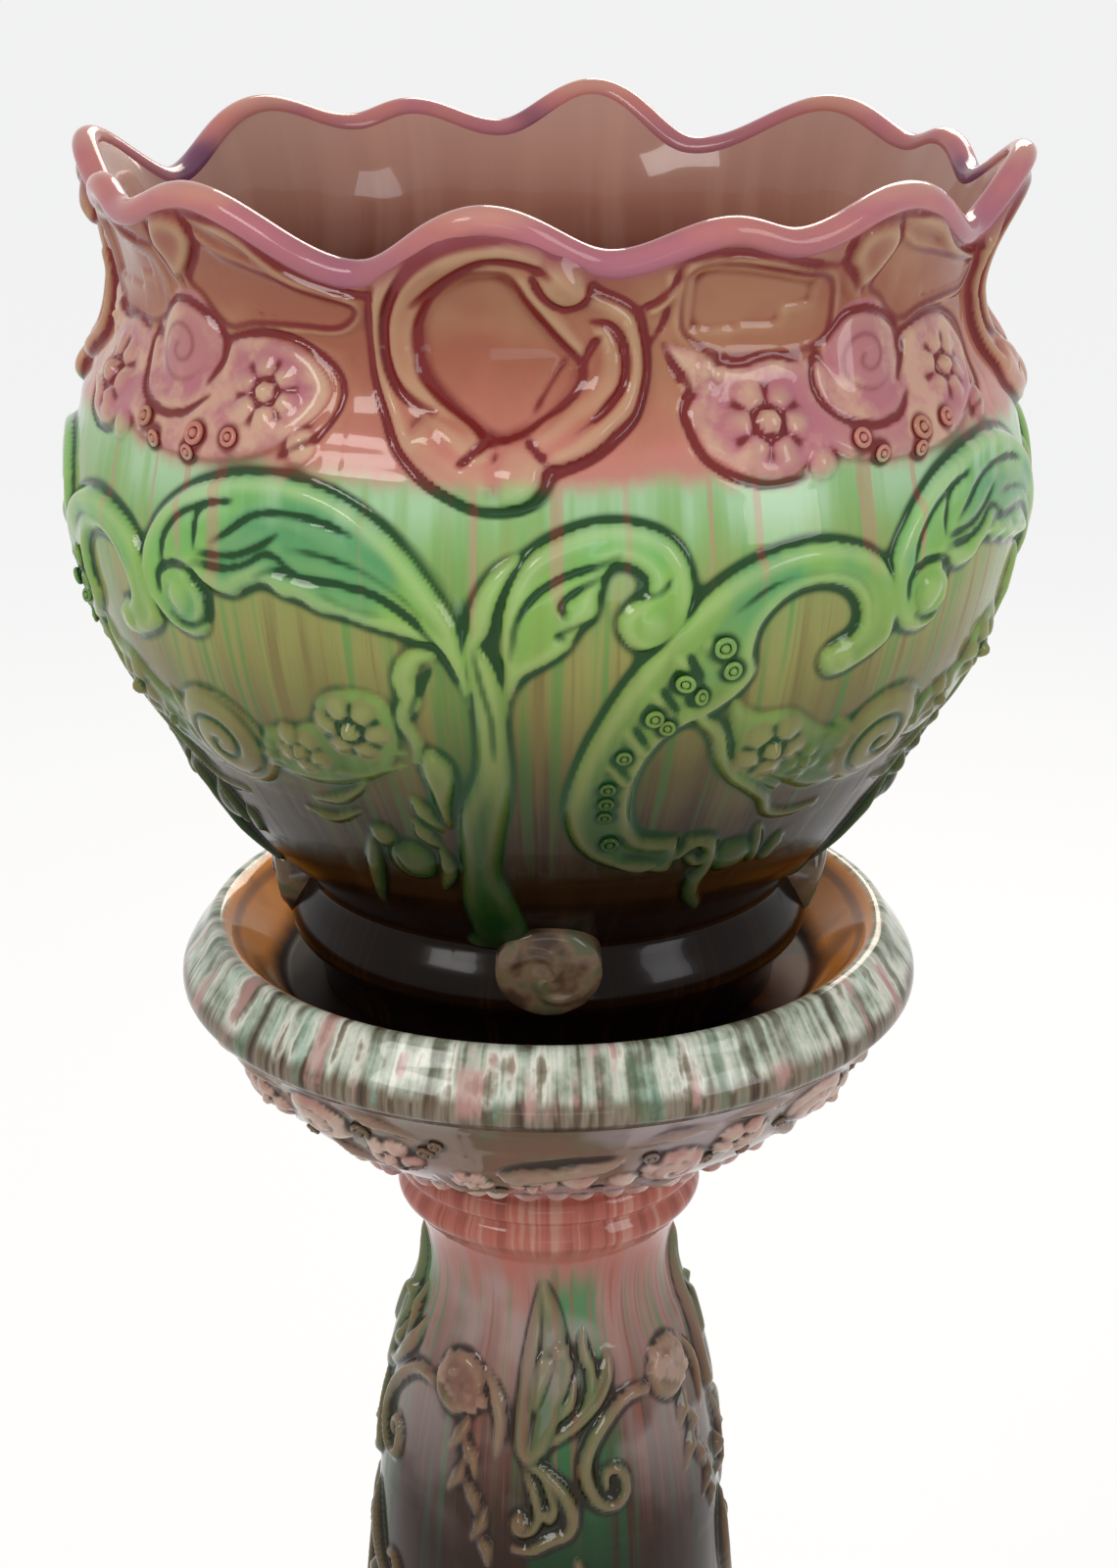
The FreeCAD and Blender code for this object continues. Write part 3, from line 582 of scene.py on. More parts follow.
def carve_medallion(relief):
    """The round framed medallion on the neck, which hangs from the rim's highest crest."""
    panel = [
        (-6.4, 978.1), (-9.1, 976.8), (-11.2, 972.8), (-13.5, 965.9), (-14.9, 957), (-14.9, 947.4),
        (-14.3, 939.4), (-12.5, 932.7), (-10.3, 927.7), (-8, 922.9), (-6.5, 918.9), (-4.5, 919.5),
        (-2.2, 921.9), (-0.2, 926.4), (1.9, 930.6), (3.5, 936.3), (4, 943.3), (1.2, 953.8), (-0.9, 962.4),
        (-2.5, 968.9), (-3.5, 974.4), (-4.7, 977.7),
    ]
    outside = [
        (-20.3, 969.1), (-20.7, 961.3), (-20.8, 948.4), (-20.1, 936.3), (-18.4, 925.1), (-16.4, 915.2),
        (-13.6, 907.2), (-10.5, 901.8), (-7.6, 898.2), (-4.3, 898), (-2.1, 900.5), (-0.5, 905.5),
        (0, 909.7), (2.4, 912), (5.1, 915.7), (7.6, 921.1), (9.7, 926.3), (10.9, 934.8), (11.4, 943.7),
        (11, 954.2), (10.1, 961.8), (8.1, 966.4), (4.7, 971.5),
    ]
    relief.pad(outside + [(3.4, 980), (-1, 988), (-8, 991), (-15, 987), (-19, 979)], 3.6, 4)
    relief.pad(panel, -2.4, 4, on=True, kinds=())
    relief.rib([
        (0.5, 987.9), (-2.5, 991), (-6.2, 992), (-9.9, 990), (-13, 985.2), (-16.3, 976.8), (-18.8, 966.2),
        (-19.9, 956), (-19.9, 944.4), (-18.9, 934.6), (-17.4, 926), (-15.1, 917),
    ], [6, 8, 8, 7, 7, 6, 5], 1.5, on=True)
    relief.rib([
        (-1.4, 983), (-3.9, 985.5), (-6.4, 985.5), (-9.4, 983.6), (-12.2, 979), (-14.7, 972), (-16.5, 962),
        (-17.1, 953.4), (-16.8, 945), (-15.8, 937), (-13.6, 930), (-10.5, 922), (-7.6, 916),
    ], [6, 8, 10, 11, 11, 10, 10], 1.8, on=True)
    relief.groove([
        (0.8, 984), (-1.4, 989), (-3.8, 990.4), (-6.3, 990), (-9.2, 988.4), (-11.9, 985), (-14.5, 979.6),
        (-16.8, 971.6), (-18.4, 961.8), (-18.9, 953), (-18.7, 944.7), (-17.6, 936.8), (-15.8, 931.3),
        (-12.7, 926.5),
    ], 4.6, 2.2, 1.0)
    relief.groove(panel + panel[:1], 3.0, 1.2, 1.0)
    relief.groove(outside[1:], 3.2, 1.0, 0.9)
    relief.groove([
        (-15.1, 965.7), (-12.3, 972.7), (-8.9, 979.6), (-6.6, 982.6), (-4.3, 982.7), (-2.1, 981.1),
        (0, 978.1),
    ], 3.6, 1.6, 0.9)
    relief.groove([(2.1, 946.4), (0.5, 938.4), (-1.6, 928.7)], 2.4, 0.8, 0.5)
    relief.rib([
        (9.3, 958.7), (10.1, 950.1), (10, 939.8), (9.1, 931.1), (7, 924.3), (4.1, 918.6), (1.1, 914.6),
    ], [5, 6, 7, 8, 8, 6], 1.8, on=True)
    relief.rib([
        (5.8, 955.7), (6.9, 950.3), (7, 942.1), (6.1, 934.3), (4, 927.7), (1.2, 921.4), (-1.2, 917.8),
    ], [5, 8, 10, 10, 9, 6], 2.0, on=True)
    relief.groove([
        (4.9, 960.1), (6.8, 958.9), (8.3, 953.4), (8.9, 945), (8.5, 937), (6.8, 930.4), (5.3, 924.9),
    ], 3.4, 1.6, 0.9)
    relief.groove([(4, 943.3), (4.9, 950.5), (5.8, 954.7)], 3.0, 1.4, 0.9)
    relief.rib([(-2.8, 975.6), (-0.8, 966.8), (1.6, 958.1), (3.4, 951)], [4, 7, 7, 4], 1.6, on=True)
    relief.ball((1.8, 973.6), 9.5, 3.4, on=True)
    relief.groove([(-1.6, 976.1), (-0.5, 970.1), (1.5, 965.7), (3.6, 966.7), (4.7, 971.5)], 3.4, 1.8, 1.0)
    relief.pad([
        (-14.6, 923), (-15.3, 916.4), (-12.7, 910.2), (-9.9, 905.4), (-6.6, 902.3), (-5.4, 908.2),
        (-5.8, 914.7), (-7.5, 917.4), (-10.4, 922.7), (-13, 925.1),
    ], 2.2, 6, on=True)
    relief.groove([(-6.5, 918.5), (-7.8, 915.5), (-9.4, 910.6)], 3.6, 1.8, 1.0)
    relief.groove([(-2.2, 919.2), (-1.2, 915.9), (-0.2, 912)], 3.0, 1.4, 0.9)
    relief.ball((-2.8, 908.8), 10.4, 3.6, on=True)


def carve_neck_panels(relief):
    """The two sunk panels on the neck beside the medallion, with the leaf and straps between them."""
    for panel in (
            [
                (15.6, 973.5), (15.4, 962.7), (15.8, 954.4), (17.6, 949.4), (20.1, 945.2), (24.1, 944.5),
                (29.5, 943.3), (33.5, 945.3), (35.6, 951.6), (34.7, 967.6), (29.9, 971.7), (24.5, 975.4),
                (20, 977.4), (17.2, 977),
            ],
            [
                (-44.9, 979.3), (-41.5, 974.2), (-37.3, 971.3), (-33.3, 968.6), (-29.7, 965.8),
                (-25.7, 963.3), (-22.8, 960.2), (-25.1, 953.7), (-30.6, 952.9), (-37.1, 951.8),
                (-41.3, 949), (-43.9, 952.3), (-46.3, 959), (-48.5, 963.1), (-46.5, 972.1),
            ]):
        relief.rib(panel + panel[:1], 7, 1.5, kinds=())
        relief.pad(panel, -1.2, 4, on=True, kinds=())
        relief.groove(panel + panel[:1], 2.8, 1.0, 0.85)
    relief.rib([
        (-47.1, 986), (-43.7, 986), (-39.2, 983), (-36.4, 979.5), (-34.3, 974.7), (-31.5, 969.6),
        (-27.7, 966), (-23.5, 963.4),
    ], [3, 6, 8, 7, 4], 1.8, kinds=())
    relief.groove([
        (-46.4, 988), (-43.7, 987.6), (-39.2, 986.4), (-36.4, 983), (-34.3, 978.2), (-31.5, 972.8),
        (-27.7, 968.8), (-23.5, 966), (-20.5, 965.6),
    ], 4.2, 1.8, 1.0)
    relief.pad([
        (-52.5, 984), (-49.6, 987), (-46.4, 985.3), (-45.2, 979.2), (-46.2, 972.2), (-48.6, 964.7),
        (-50.7, 962.7), (-52.2, 968.8), (-53.6, 974.9),
    ], 3.2, 4, kinds=())
    relief.groove([(-53.5, 983), (-53.9, 973.7), (-52.2, 968.8), (-50.7, 962.7)], 3.0, 1.4, 0.9)
    relief.groove([(-46.4, 987.5), (-45.2, 979.2), (-46.2, 972.2), (-48.6, 964.7)], 3.0, 1.2, 0.9)
    relief.groove([(14, 977), (17, 980.6), (21, 981), (26, 978.6), (31, 974.6), (35, 973)], 3.6, 1.2, 0.8)
    relief.rib([(12.2, 962), (13.9, 968), (13.6, 974)], [4, 5, 3], 2.2, kinds=())
    relief.groove([(10.6, 962.4), (12.6, 965), (14, 970), (15, 976)], 3.0, 1.2, 0.8)
    relief.groove([(12, 950.6), (13.2, 956), (13.8, 962)], 2.8, 1.0, 0.7)
    relief.rib([(36, 972), (38.6, 964), (40.2, 958)], [3, 6, 4], 1.8, kinds=())


def carve_garland(relief):
    """The oval rose and the soft open flowers on the neck's foot, with a flower on each side."""
    relief.pad([
        (13.5, 950.1), (15.1, 940.8), (17, 934.4), (16.2, 926.6), (17.2, 917.3), (19.3, 911.5),
        (21.8, 906.7), (25.3, 904), (28.8, 906.7), (32.1, 911), (36, 907), (41, 905.4), (47, 904.6),
        (53, 907), (58, 912), (61.8, 920), (64, 930), (62.9, 938), (59.2, 945.3), (52.7, 947.6),
        (48.7, 944), (44, 930), (38, 930), (34, 940), (30.4, 941.5), (27.2, 944), (22.6, 942.4),
        (18.4, 946.6),
    ], 2.2, 4, kinds=("bloom",))
    relief.ball((40.8, 938.6), 19.5, 4.8, kinds=("bloom",), tall=1.1)
    relief.groove([
        (33.6, 944), (32.5, 936.5), (32.8, 927.8), (34.6, 921), (38.8, 916.6), (43.6, 917.4), (47, 924),
    ], 3.2, 1.6, 1.0)
    relief.groove([
        (35, 945.9), (37.9, 954.6), (41.9, 955.2), (46.8, 947.8), (48, 938.7), (46, 928),
    ], 3.2, 1.6, 1.0)
    relief.rose((40.6, 938.4), 14.5, 2.4, 1.9, 0.8)
    relief.flower((25.2, 921.6), 19, 5.0, 6, 0.3)
    relief.flower((55.6, 928.4), 17, 4.8, 6, 0.9)
    relief.flower((18.2, 938.8), 9, 3.8, 5, 0.2)
    for place in ((31.4, 908.4), (49.4, 914), (61.6, 914)):
        relief.ball(place, 6, 3.0, kinds=("bloom",))
    for points in (
            [
                (13.5, 950.1), (15.1, 940.8), (16.4, 934.4), (15.6, 926.6), (16.8, 915), (19.6, 907.5),
                (24, 902.6), (29, 903.4),
            ],
            [(48.2, 945), (54.7, 949.2), (60.2, 946.3), (64.6, 938.4), (65.6, 929), (63.4, 917),
             (59, 910)]):
        relief.groove(points, 3.0, 1.2, 0.9)
    relief.groove([(18.4, 945), (22.6, 941.4), (27.2, 943.4), (31, 940.6)], 3.0, 1.2, 0.8)


RINGS = (
    (18.7, 849.2, 4.2), (19.9, 840.6, 3.6), (14.5, 837.8, 3.6), (16.4, 831.4, 3.0), (11.5, 824.8, 3.5),
    (13.1, 820.4, 3.0), (8.5, 808.2, 3.0), (7.1, 794.4, 3.0), (7.2, 787.6, 3.0), (7.3, 781.4, 2.8),
    (8.4, 768.4, 3.6), (-43, 911.4, 4.4), (-38, 912.6, 3.6), (37.2, 912.4, 3.8), (39.6, 907.6, 3.2),
    (46, 905.6, 3.0),
)


def carve_bowl(relief):
    """All the bowl's carving, then the dark glaze round the beads."""
    for carve in (carve_trunk, carve_left_scroll, carve_right_scroll, carve_c_scroll, carve_flowers,
                  carve_panel, carve_tendrils, carve_medallion, carve_neck_panels, carve_garland):
        carve(relief)
    for degrees, height, radius in RINGS:
        relief.ink_round((degrees, height), radius)


# ---- Ornament of the pedestal: one quarter ---------------------------------------------------------

def carve_saucer(relief):
    """The garland under the dish: rolled roses, open flowers, leaves and eyed berries."""
    relief.rose((-40.5, 634), 15, 5.0, 2.0, 0.3)
    relief.rose((22.6, 619), 13, 4.6, 2.0, 1.2)
    relief.flower((-28, 622), 13, 4.4, 5, 0.4)
    relief.flower((34, 629), 13, 4.6, 5, 0.2)
    relief.flower((-14.6, 611), 9, 3.4, 5, 0.8)
    relief.flower((-3, 612), 10, 3.6, 4, 0.1)
    relief.pad([
        (-9, 618), (-5, 624.4), (1, 627), (8, 629.4), (12.6, 628), (10, 623), (4, 620), (-2, 617),
        (-6, 614),
    ], 3.6, 3)
    relief.rib([(-6.6, 616), (-2, 621.6), (4, 624.6), (10, 626)], [2, 6, 6, 2], 2.0, on=True)
    relief.ball((5.4, 614.4), 7, 3.8, kinds=("bloom",))
    relief.ball((13.6, 613), 6, 3.4, kinds=("bloom",))
    for points in (
            [(-36, 646), (-29, 643), (-22, 636)],
            [(28, 642), (34, 645), (41, 641)],
            [(14, 634), (20, 640), (27, 640)],
            [(-22, 612), (-18, 604), (-11, 601)],
            [(17, 606), (23, 604), (29, 609)],
            [(-46, 622), (-38, 614), (-31, 610)]):
        relief.rib(points, [2, 9, 3], 3.6)
        relief.groove(points, 2.0, 0.8, 0.5)
    for degrees, height, radius in (
            (-43, 596, 7), (-37, 600, 5), (-31, 594, 6.4), (-25, 597, 5), (-18, 593, 6), (-12, 596, 5.4),
            (-5, 594, 6.6), (2, 597.4, 5.4), (8, 593.4, 6), (15, 596, 5), (22, 593, 6.6), (28, 598, 5.4),
            (34, 594.6, 6.4), (41, 597, 5.6)):
        relief.ball((degrees, height), radius, 3.2, kinds=("bloom",), tall=0.8)
    for degrees, height, radius in SAUCER_RINGS:
        relief.ink_round((degrees, height), radius)


SAUCER_RINGS = (
    (-32.6, 633.6, 4.4), (-21, 627.6, 3.8), (-24.8, 617, 3.2), (-18.6, 633.6, 3.2), (29.6, 618, 3.4),
    (39, 614, 3.2), (17.4, 627, 3.4), (44, 627, 3.6), (-9.6, 604.6, 2.8), (9.6, 606.4, 2.8),
)


def carve_shaft(relief):
    """Spear leaf, sprays and S-scrolls on the shaft, and the leaf chains between them."""
    relief.pad([
        (-3.1, 531), (-6.8, 520), (-9.5, 508), (-11.6, 494), (-12.6, 478), (-13.2, 462), (-11, 452),
        (-6, 449), (0, 456), (5, 470), (8.2, 486), (8.4, 500), (6.2, 513), (1.9, 524),
    ], 4.4, 5, hollow=0.6)
    relief.groove([(-3, 526), (-3.4, 508), (-4.4, 490), (-5.6, 472), (-6.8, 458)], 2.6, 1.0, 0.5)
    relief.rib([(4, 498.6), (7.4, 492), (4.4, 481), (-0.4, 472), (-3, 461)], [4.8, 4.8, 5.6, 4.8, 3.2], 4.4)
    relief.ball((4.4, 497.8), 4.6, 7.0)
    relief.pad([
        (-3.6, 498), (3, 494.6), (0.6, 485), (-2.6, 476), (-6, 471), (-8.2, 480), (-7.2, 491),
    ], 6.2, 3.4)
    relief.rib([(15, 505.6), (14.4, 497), (16.8, 488), (15, 478), (9, 468)], [2.4, 5.6, 4.8, 4, 2.4], 4.2)
    relief.rib([
        (25.4, 495), (22.6, 486), (17, 476), (9.6, 467.6), (2.6, 461.6), (-4, 457),
    ], [2.4, 8, 8.8, 7.2, 5.6, 3.2], 4.9)
    relief.groove([(24, 491), (19.6, 481), (12.4, 471), (4, 463.6)], 2.4, 1.0, 0.6)
    relief.rib([(9.7, 485.6), (7, 476), (0.6, 467)], [2.4, 7.2, 3.2], 4.8)
    relief.rib([
        (-9, 458), (-6.4, 451), (-0.8, 445), (4.6, 437), (7.4, 427), (6, 419), (0, 415.6), (-6.4, 411),
        (-11.4, 411.4),
    ], [3.2, 5.6, 6.4, 7.2, 7.2, 6.4, 6.4, 6.4, 4], 4.4)
    relief.rib([
        (-4.4, 451), (-0.6, 441), (1.4, 432), (0.2, 426), (-2.4, 427.6),
    ], [2.4, 4.8, 5.6, 5.6, 4.8], 3.9)
    relief.rib([
        (-8.4, 449), (-5, 438), (-3.6, 428), (-5.6, 421), (-9.4, 419.4), (-11.4, 423), (-9.6, 427.6),
    ], [2.4, 4.8, 5.6, 5.6, 5.6, 5.6, 4], 3.9)
    relief.ball((-9.4, 423.6), 4.4, 5.4)
    relief.ball((-1.6, 428.4), 3.6, 5.0)
    relief.rib([
        (40, 474.6), (34, 475.6), (27, 473), (20, 466), (15, 457.6), (12.6, 449), (13.4, 439.6),
        (17, 431.4), (22, 429), (26, 433.4), (26, 441), (23, 445.4), (19.6, 443.6), (19.4, 438),
    ], [4, 5.6, 6.4, 7.2, 7.2, 7.2, 7.2, 7.2, 6.4, 5.6, 5.6, 5.6, 4.8, 4], 4.6)
    relief.groove([
        (33, 474.6), (26.6, 471), (20, 463.6), (16, 455), (14.4, 446), (15.4, 437.6),
    ], 2.2, 0.7, 0.5)


def carve_chain(relief):
    """The cluster and the chain of leaves at the side of each S-scroll, and the lower scrolls."""
    relief.pad([
        (41, 482), (46, 489), (52, 493), (60, 491), (65, 484), (64, 474), (57, 466), (50, 465), (43, 471),
    ], 3.6, 4)
    relief.flower((51.6, 483), 10, 4.4, 5, 0.4)
    relief.flower((59.4, 475), 8.5, 4.2, 4, 0.2)
    relief.rib([(64, 487), (69, 479), (72, 466), (71, 452)], [3, 7, 6, 3], 3.6)
    for degrees, height, lean in (
            (56, 458, -3), (61, 449, 3), (57, 440, -3), (63, 431, 3), (66, 420, -2), (68, 409, 2)):
        relief.rib([
            (degrees - lean, height + 8), (degrees + 1, height), (degrees + lean, height - 8),
        ], [3, 7.5, 3], 3.8)
        relief.groove([
            (degrees - lean * 0.6, height + 5), (degrees + lean * 0.6, height - 5),
        ], 2.0, 0.8, 0.6)
    relief.rib([
        (-8, 398), (-10, 380), (-8, 360), (-2, 344), (7, 336), (13, 343), (12, 354), (6, 356), (5, 349),
    ], [4, 8, 9, 9, 9, 8, 8, 7, 6], 4.8)
    relief.rib([
        (9, 404), (13, 388), (19, 374), (27, 366), (32, 372), (30, 381), (24.6, 380),
    ], [4, 8, 9, 8, 7, 7, 5], 4.8)
    relief.pad([(-1, 388), (3, 376), (4, 360), (0, 372), (-3, 380)], 3.8, 3)
    relief.pad([
        (0, 318), (-7, 300), (-9, 276), (-6, 250), (0, 232), (6, 250), (9, 276), (7, 300),
    ], 3.6, 5, hollow=0.6)
    relief.groove([(0, 308), (0, 276), (0, 244)], 2.8, 1.0, 0.6)
    for side in (-1, 1):
        relief.rib([
            (8 * side, 326), (17 * side, 314), (22 * side, 294), (17 * side, 277), (11 * side, 283), (13 *
            side, 291),
        ], [5, 9, 10, 9, 8, 6], 4.4)
        relief.rib([
            (45 - 4 * side, 330), (45 - 12 * side, 306), (45 - 13 * side, 280), (45 - 5 * side, 262), (45 -
            1 * side, 270),
        ], [4, 8, 9, 8, 5], 4.0)
    relief.rose((45, 352), 15, 5.0, 2.0, 0.5)
    relief.flower((45, 244), 12, 4.2, 5, 0.3)


# ---- Meshes ------------------------------------------------------------------------------------------

def turned_places(radii, degrees, heights):
    """Places in mm for radii and heights at angles round the axis."""
    angles = np.radians(degrees)
    return np.stack([radii * np.sin(angles), -radii * np.cos(angles), heights + 0 * angles], axis=-1)


def skin_normals(places):
    """Unit normals of a skin whose rows run up and whose columns close round the axis."""
    up = np.gradient(places, axis=0)
    right = np.roll(places, -1, axis=1) - np.roll(places, 1, axis=1)
    normals = np.cross(right, up)
    size = np.linalg.norm(normals, axis=-1, keepdims=True)
    return normals / np.maximum(size, 1e-9)


def ring_faces(rows, columns):
    """Quads between the rows of a closed skin, facing away from its material."""
    row, column = np.meshgrid(np.arange(rows - 1), np.arange(columns), indexing="ij")
    beside = (column + 1) % columns
    corners = [row * columns + column, row * columns + beside, (row + 1) * columns + beside,
               (row + 1) * columns + column]
    return np.stack(corners, axis=-1).reshape(-1, 4)


def add_object(name, data):
    """Put an object of that name in the scene."""
    piece = bpy.data.objects.new(name, data)
    bpy.context.scene.collection.objects.link(piece)
    return piece


def make_skin(name, places, normals=None, marks=None):
    """A mesh object from rows of places, with the marks that its glaze reads."""
    rows, columns = places.shape[:2]
    mesh = bpy.data.meshes.new(name)
    mesh.from_pydata((places.reshape(-1, 3) * MM).tolist(), [], ring_faces(rows, columns).tolist())
    for mark, field in (marks or {}).items():
        layer = mesh.attributes.new(mark, "FLOAT", "POINT")
        layer.data.foreach_set("value", np.ascontiguousarray(field, dtype=np.float32).ravel())
    tools = bmesh.new()
    tools.from_mesh(mesh)
    if normals is None:
        bmesh.ops.remove_doubles(tools, verts=tools.verts, dist=SAME_PLACE)
    poles = [edge for edge in tools.edges if edge.is_boundary and edge.calc_length() < POLE_EDGE]
    bmesh.ops.holes_fill(tools, edges=poles, sides=0)
    tools.to_mesh(mesh)
    tools.free()
    mesh.shade_smooth()
    if normals is not None:
        mesh.normals_split_custom_set_from_vertices(normals.reshape(-1, 3).tolist())
    return add_object(name, mesh)


def face_outwards(piece):
    """Turn the faces of closed shells outwards."""
    tools = bmesh.new()
    tools.from_mesh(piece.data)
    bmesh.ops.recalc_face_normals(tools, faces=tools.faces)
    tools.to_mesh(piece.data)
    tools.free()


def finish_piece(piece, material, body, node=None):
    """Give a piece its glaze, hang it under its body's empty, and hide the solid that it stands for, when
    one is named.
    """
    piece.data.materials.clear()
    piece.data.materials.append(material)
    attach(piece, body)
    if node:
        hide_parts(node)


def plain_mesh(piece):
    """Turn a piece's modifiers into a plain mesh and remove them."""
    evaluated = piece.evaluated_get(bpy.context.evaluated_depsgraph_get())
    mesh = bpy.data.meshes.new_from_object(evaluated)
    piece.modifiers.clear()
    piece.data = mesh
    mesh.name = piece.name


def flared_neck(start, side, climb, degrees):
    """Radii and heights from a neck line's start up into the lip, on its outer or inner side."""
    reach, drop = wave(degrees)
    radii = start[0] + (NECK_RADIUS + reach + side * HALF_WALL - start[0]) * climb ** NECK_FLARE
    heights = start[1] + (TOP - drop - LIP_COVER - start[1]) * climb
    return radii, heights


def all_round(line, columns):
    """Radii and heights of a turned line at every column."""
    return [np.repeat(line[:, side:side + 1], columns, axis=1) for side in (0, 1)]


def bowl_rows(cell):
    """The bowl's outside without relief: radii, angles, heights, its turned line and its rim mark."""
    degrees = np.arange(BOWL_COLUMNS) * 360 / BOWL_COLUMNS - QUARTER / 2
    ring, hollow = BOWL_FOOT_LINE[0][0], DECK + FOOT_HOLLOW
    outside = even_rows(BOWL_FOOT_LINE + BOWL_BODY_LINE[1:], cell)
    turned = np.vstack([[(1, hollow), (ring, hollow), (ring, hollow), (ring, DECK)], outside])
    steps = int(NECK_CLIMB / cell)
    neck_radii, neck_heights = flared_neck(NECK_BASE, 1, np.arange(1, steps + 1)[:, None] / steps, degrees)
    radii, heights = all_round(turned, BOWL_COLUMNS)
    rim = np.vstack([0 * radii, np.clip(1 - (neck_heights[-1] - neck_heights) / RIM_BAND, 0, 1)])
    radii, heights = np.vstack([radii, neck_radii]), np.vstack([heights, neck_heights])
    joint = np.exp(-((heights - NECK_BASE[1]) / JOINT_REACH) ** 2)
    radii += joint * (blurred(radii, JOINT_BLUR / cell, True) - radii)
    return radii, degrees, heights, outside, rim


@functools.lru_cache
def carved_bowl(depth):
    """The bowl's carved outside: its places, their degrees and heights, and its glaze marks."""
    radii, degrees, heights, outside, rim = bowl_rows(BOWL_CELL)
    quarter = BOWL_COLUMNS // 4
    flat = np.vstack([outside[outside[:, 1] > CARVED_FROM], [(NECK_BASE[0], TOP)]])
    relief = Relief(degrees[:quarter], heights[:, :quarter], flat)
    carve_bowl(relief)
    relief.rise *= 1 - rim[:, :quarter] ** 2
    relief.finished(BOWL_CELL)
    places = turned_places(radii, degrees, heights)
    places = places + skin_normals(places) * np.tile(relief.rise, (1, 4))[..., None] * depth
    return places, degrees, heights, {**relief.marks(), "rim": rim}


def build_bowl_inside():
    """The bowl's inside, from under the lip down to the floor that a pot stands on."""
    columns = BOWL_COLUMNS // 2
    degrees = np.arange(columns) * 360 / columns
    fall = np.linspace(1, 0, INSIDE_NECK_ROWS + 1)[:-1, None]
    neck = flared_neck(BOWL_INSIDE_LINE[0], -1, fall, degrees)
    lower = all_round(even_rows(BOWL_INSIDE_LINE, INSIDE_CELL), columns)
    radii, heights = (np.vstack(pair) for pair in zip(neck, lower))
    return make_skin("bowl_inside", turned_places(radii, degrees, heights))


@functools.lru_cache
def carved_stand(name, depth):
    """One stretch of the pedestal's carved outside. Its rows run down, so its columns run backwards."""
    line, columns, cell, carvings = {
        "dish": (DISH_LINE[1:], 600, 1.4, ()),
        "saucer": (SAUCER_LINE, 600, 1.6, (carve_saucer,)),
        "shaft": (COLLAR_LINE + SHAFT_LINE[1:], 360, 1.8, (carve_shaft, carve_chain)),
        "base": (BASE_LINE, 360, 2.6, ()),
    }[name]
    rows = even_rows(line, cell)
    rows[:, 1] = np.maximum(rows[:, 1], FLOOR_GAP)
    if name == "dish":
        rows = np.vstack([[(radius, rows[0, 1]) for radius in DISH_MIDDLE], rows])
    degrees = QUARTER / 2 - np.arange(columns) * 360 / columns
    heights = np.repeat(rows[:, 1:], columns, axis=1)
    places = turned_places(rows[:, :1], degrees, heights)
    quarter = columns // 4
    relief = Relief(degrees[:quarter], heights[:, :quarter], rows)
    for carve in carvings:
        carve(relief)
    relief.finished(cell)
    edge = np.minimum(np.arange(len(rows)), np.arange(len(rows))[::-1])[:, None]
    rise = np.tile(relief.rise * ease(edge / FADE_ROWS), (1, 4)) * depth
    return places + skin_normals(places) * rise[..., None], degrees, heights, relief.marks()


# ---- Node trees --------------------------------------------------------------------------------------

class Value:
    """One socket of a node tree. Arithmetic on it adds Math nodes."""

    def __init__(self, net, socket):
        self.net = net
        self.socket = socket

    def math(self, operation, *values):
        return self.net.add("ShaderNodeMath", {"operation": operation}, dict(enumerate(values)))

    def output(self, name):
        return Value(self.net, self.socket.node.outputs[name])

    def __add__(self, other):
        return self.math("ADD", self, other)

    def __sub__(self, other):
        return self.math("SUBTRACT", self, other)

    def __rsub__(self, other):
        return self.math("SUBTRACT", other, self)

    def __mul__(self, other):
        return self.math("MULTIPLY", self, other)

    def __truediv__(self, other):
        return self.math("DIVIDE", self, other)

    __radd__ = __add__
    __rmul__ = __mul__


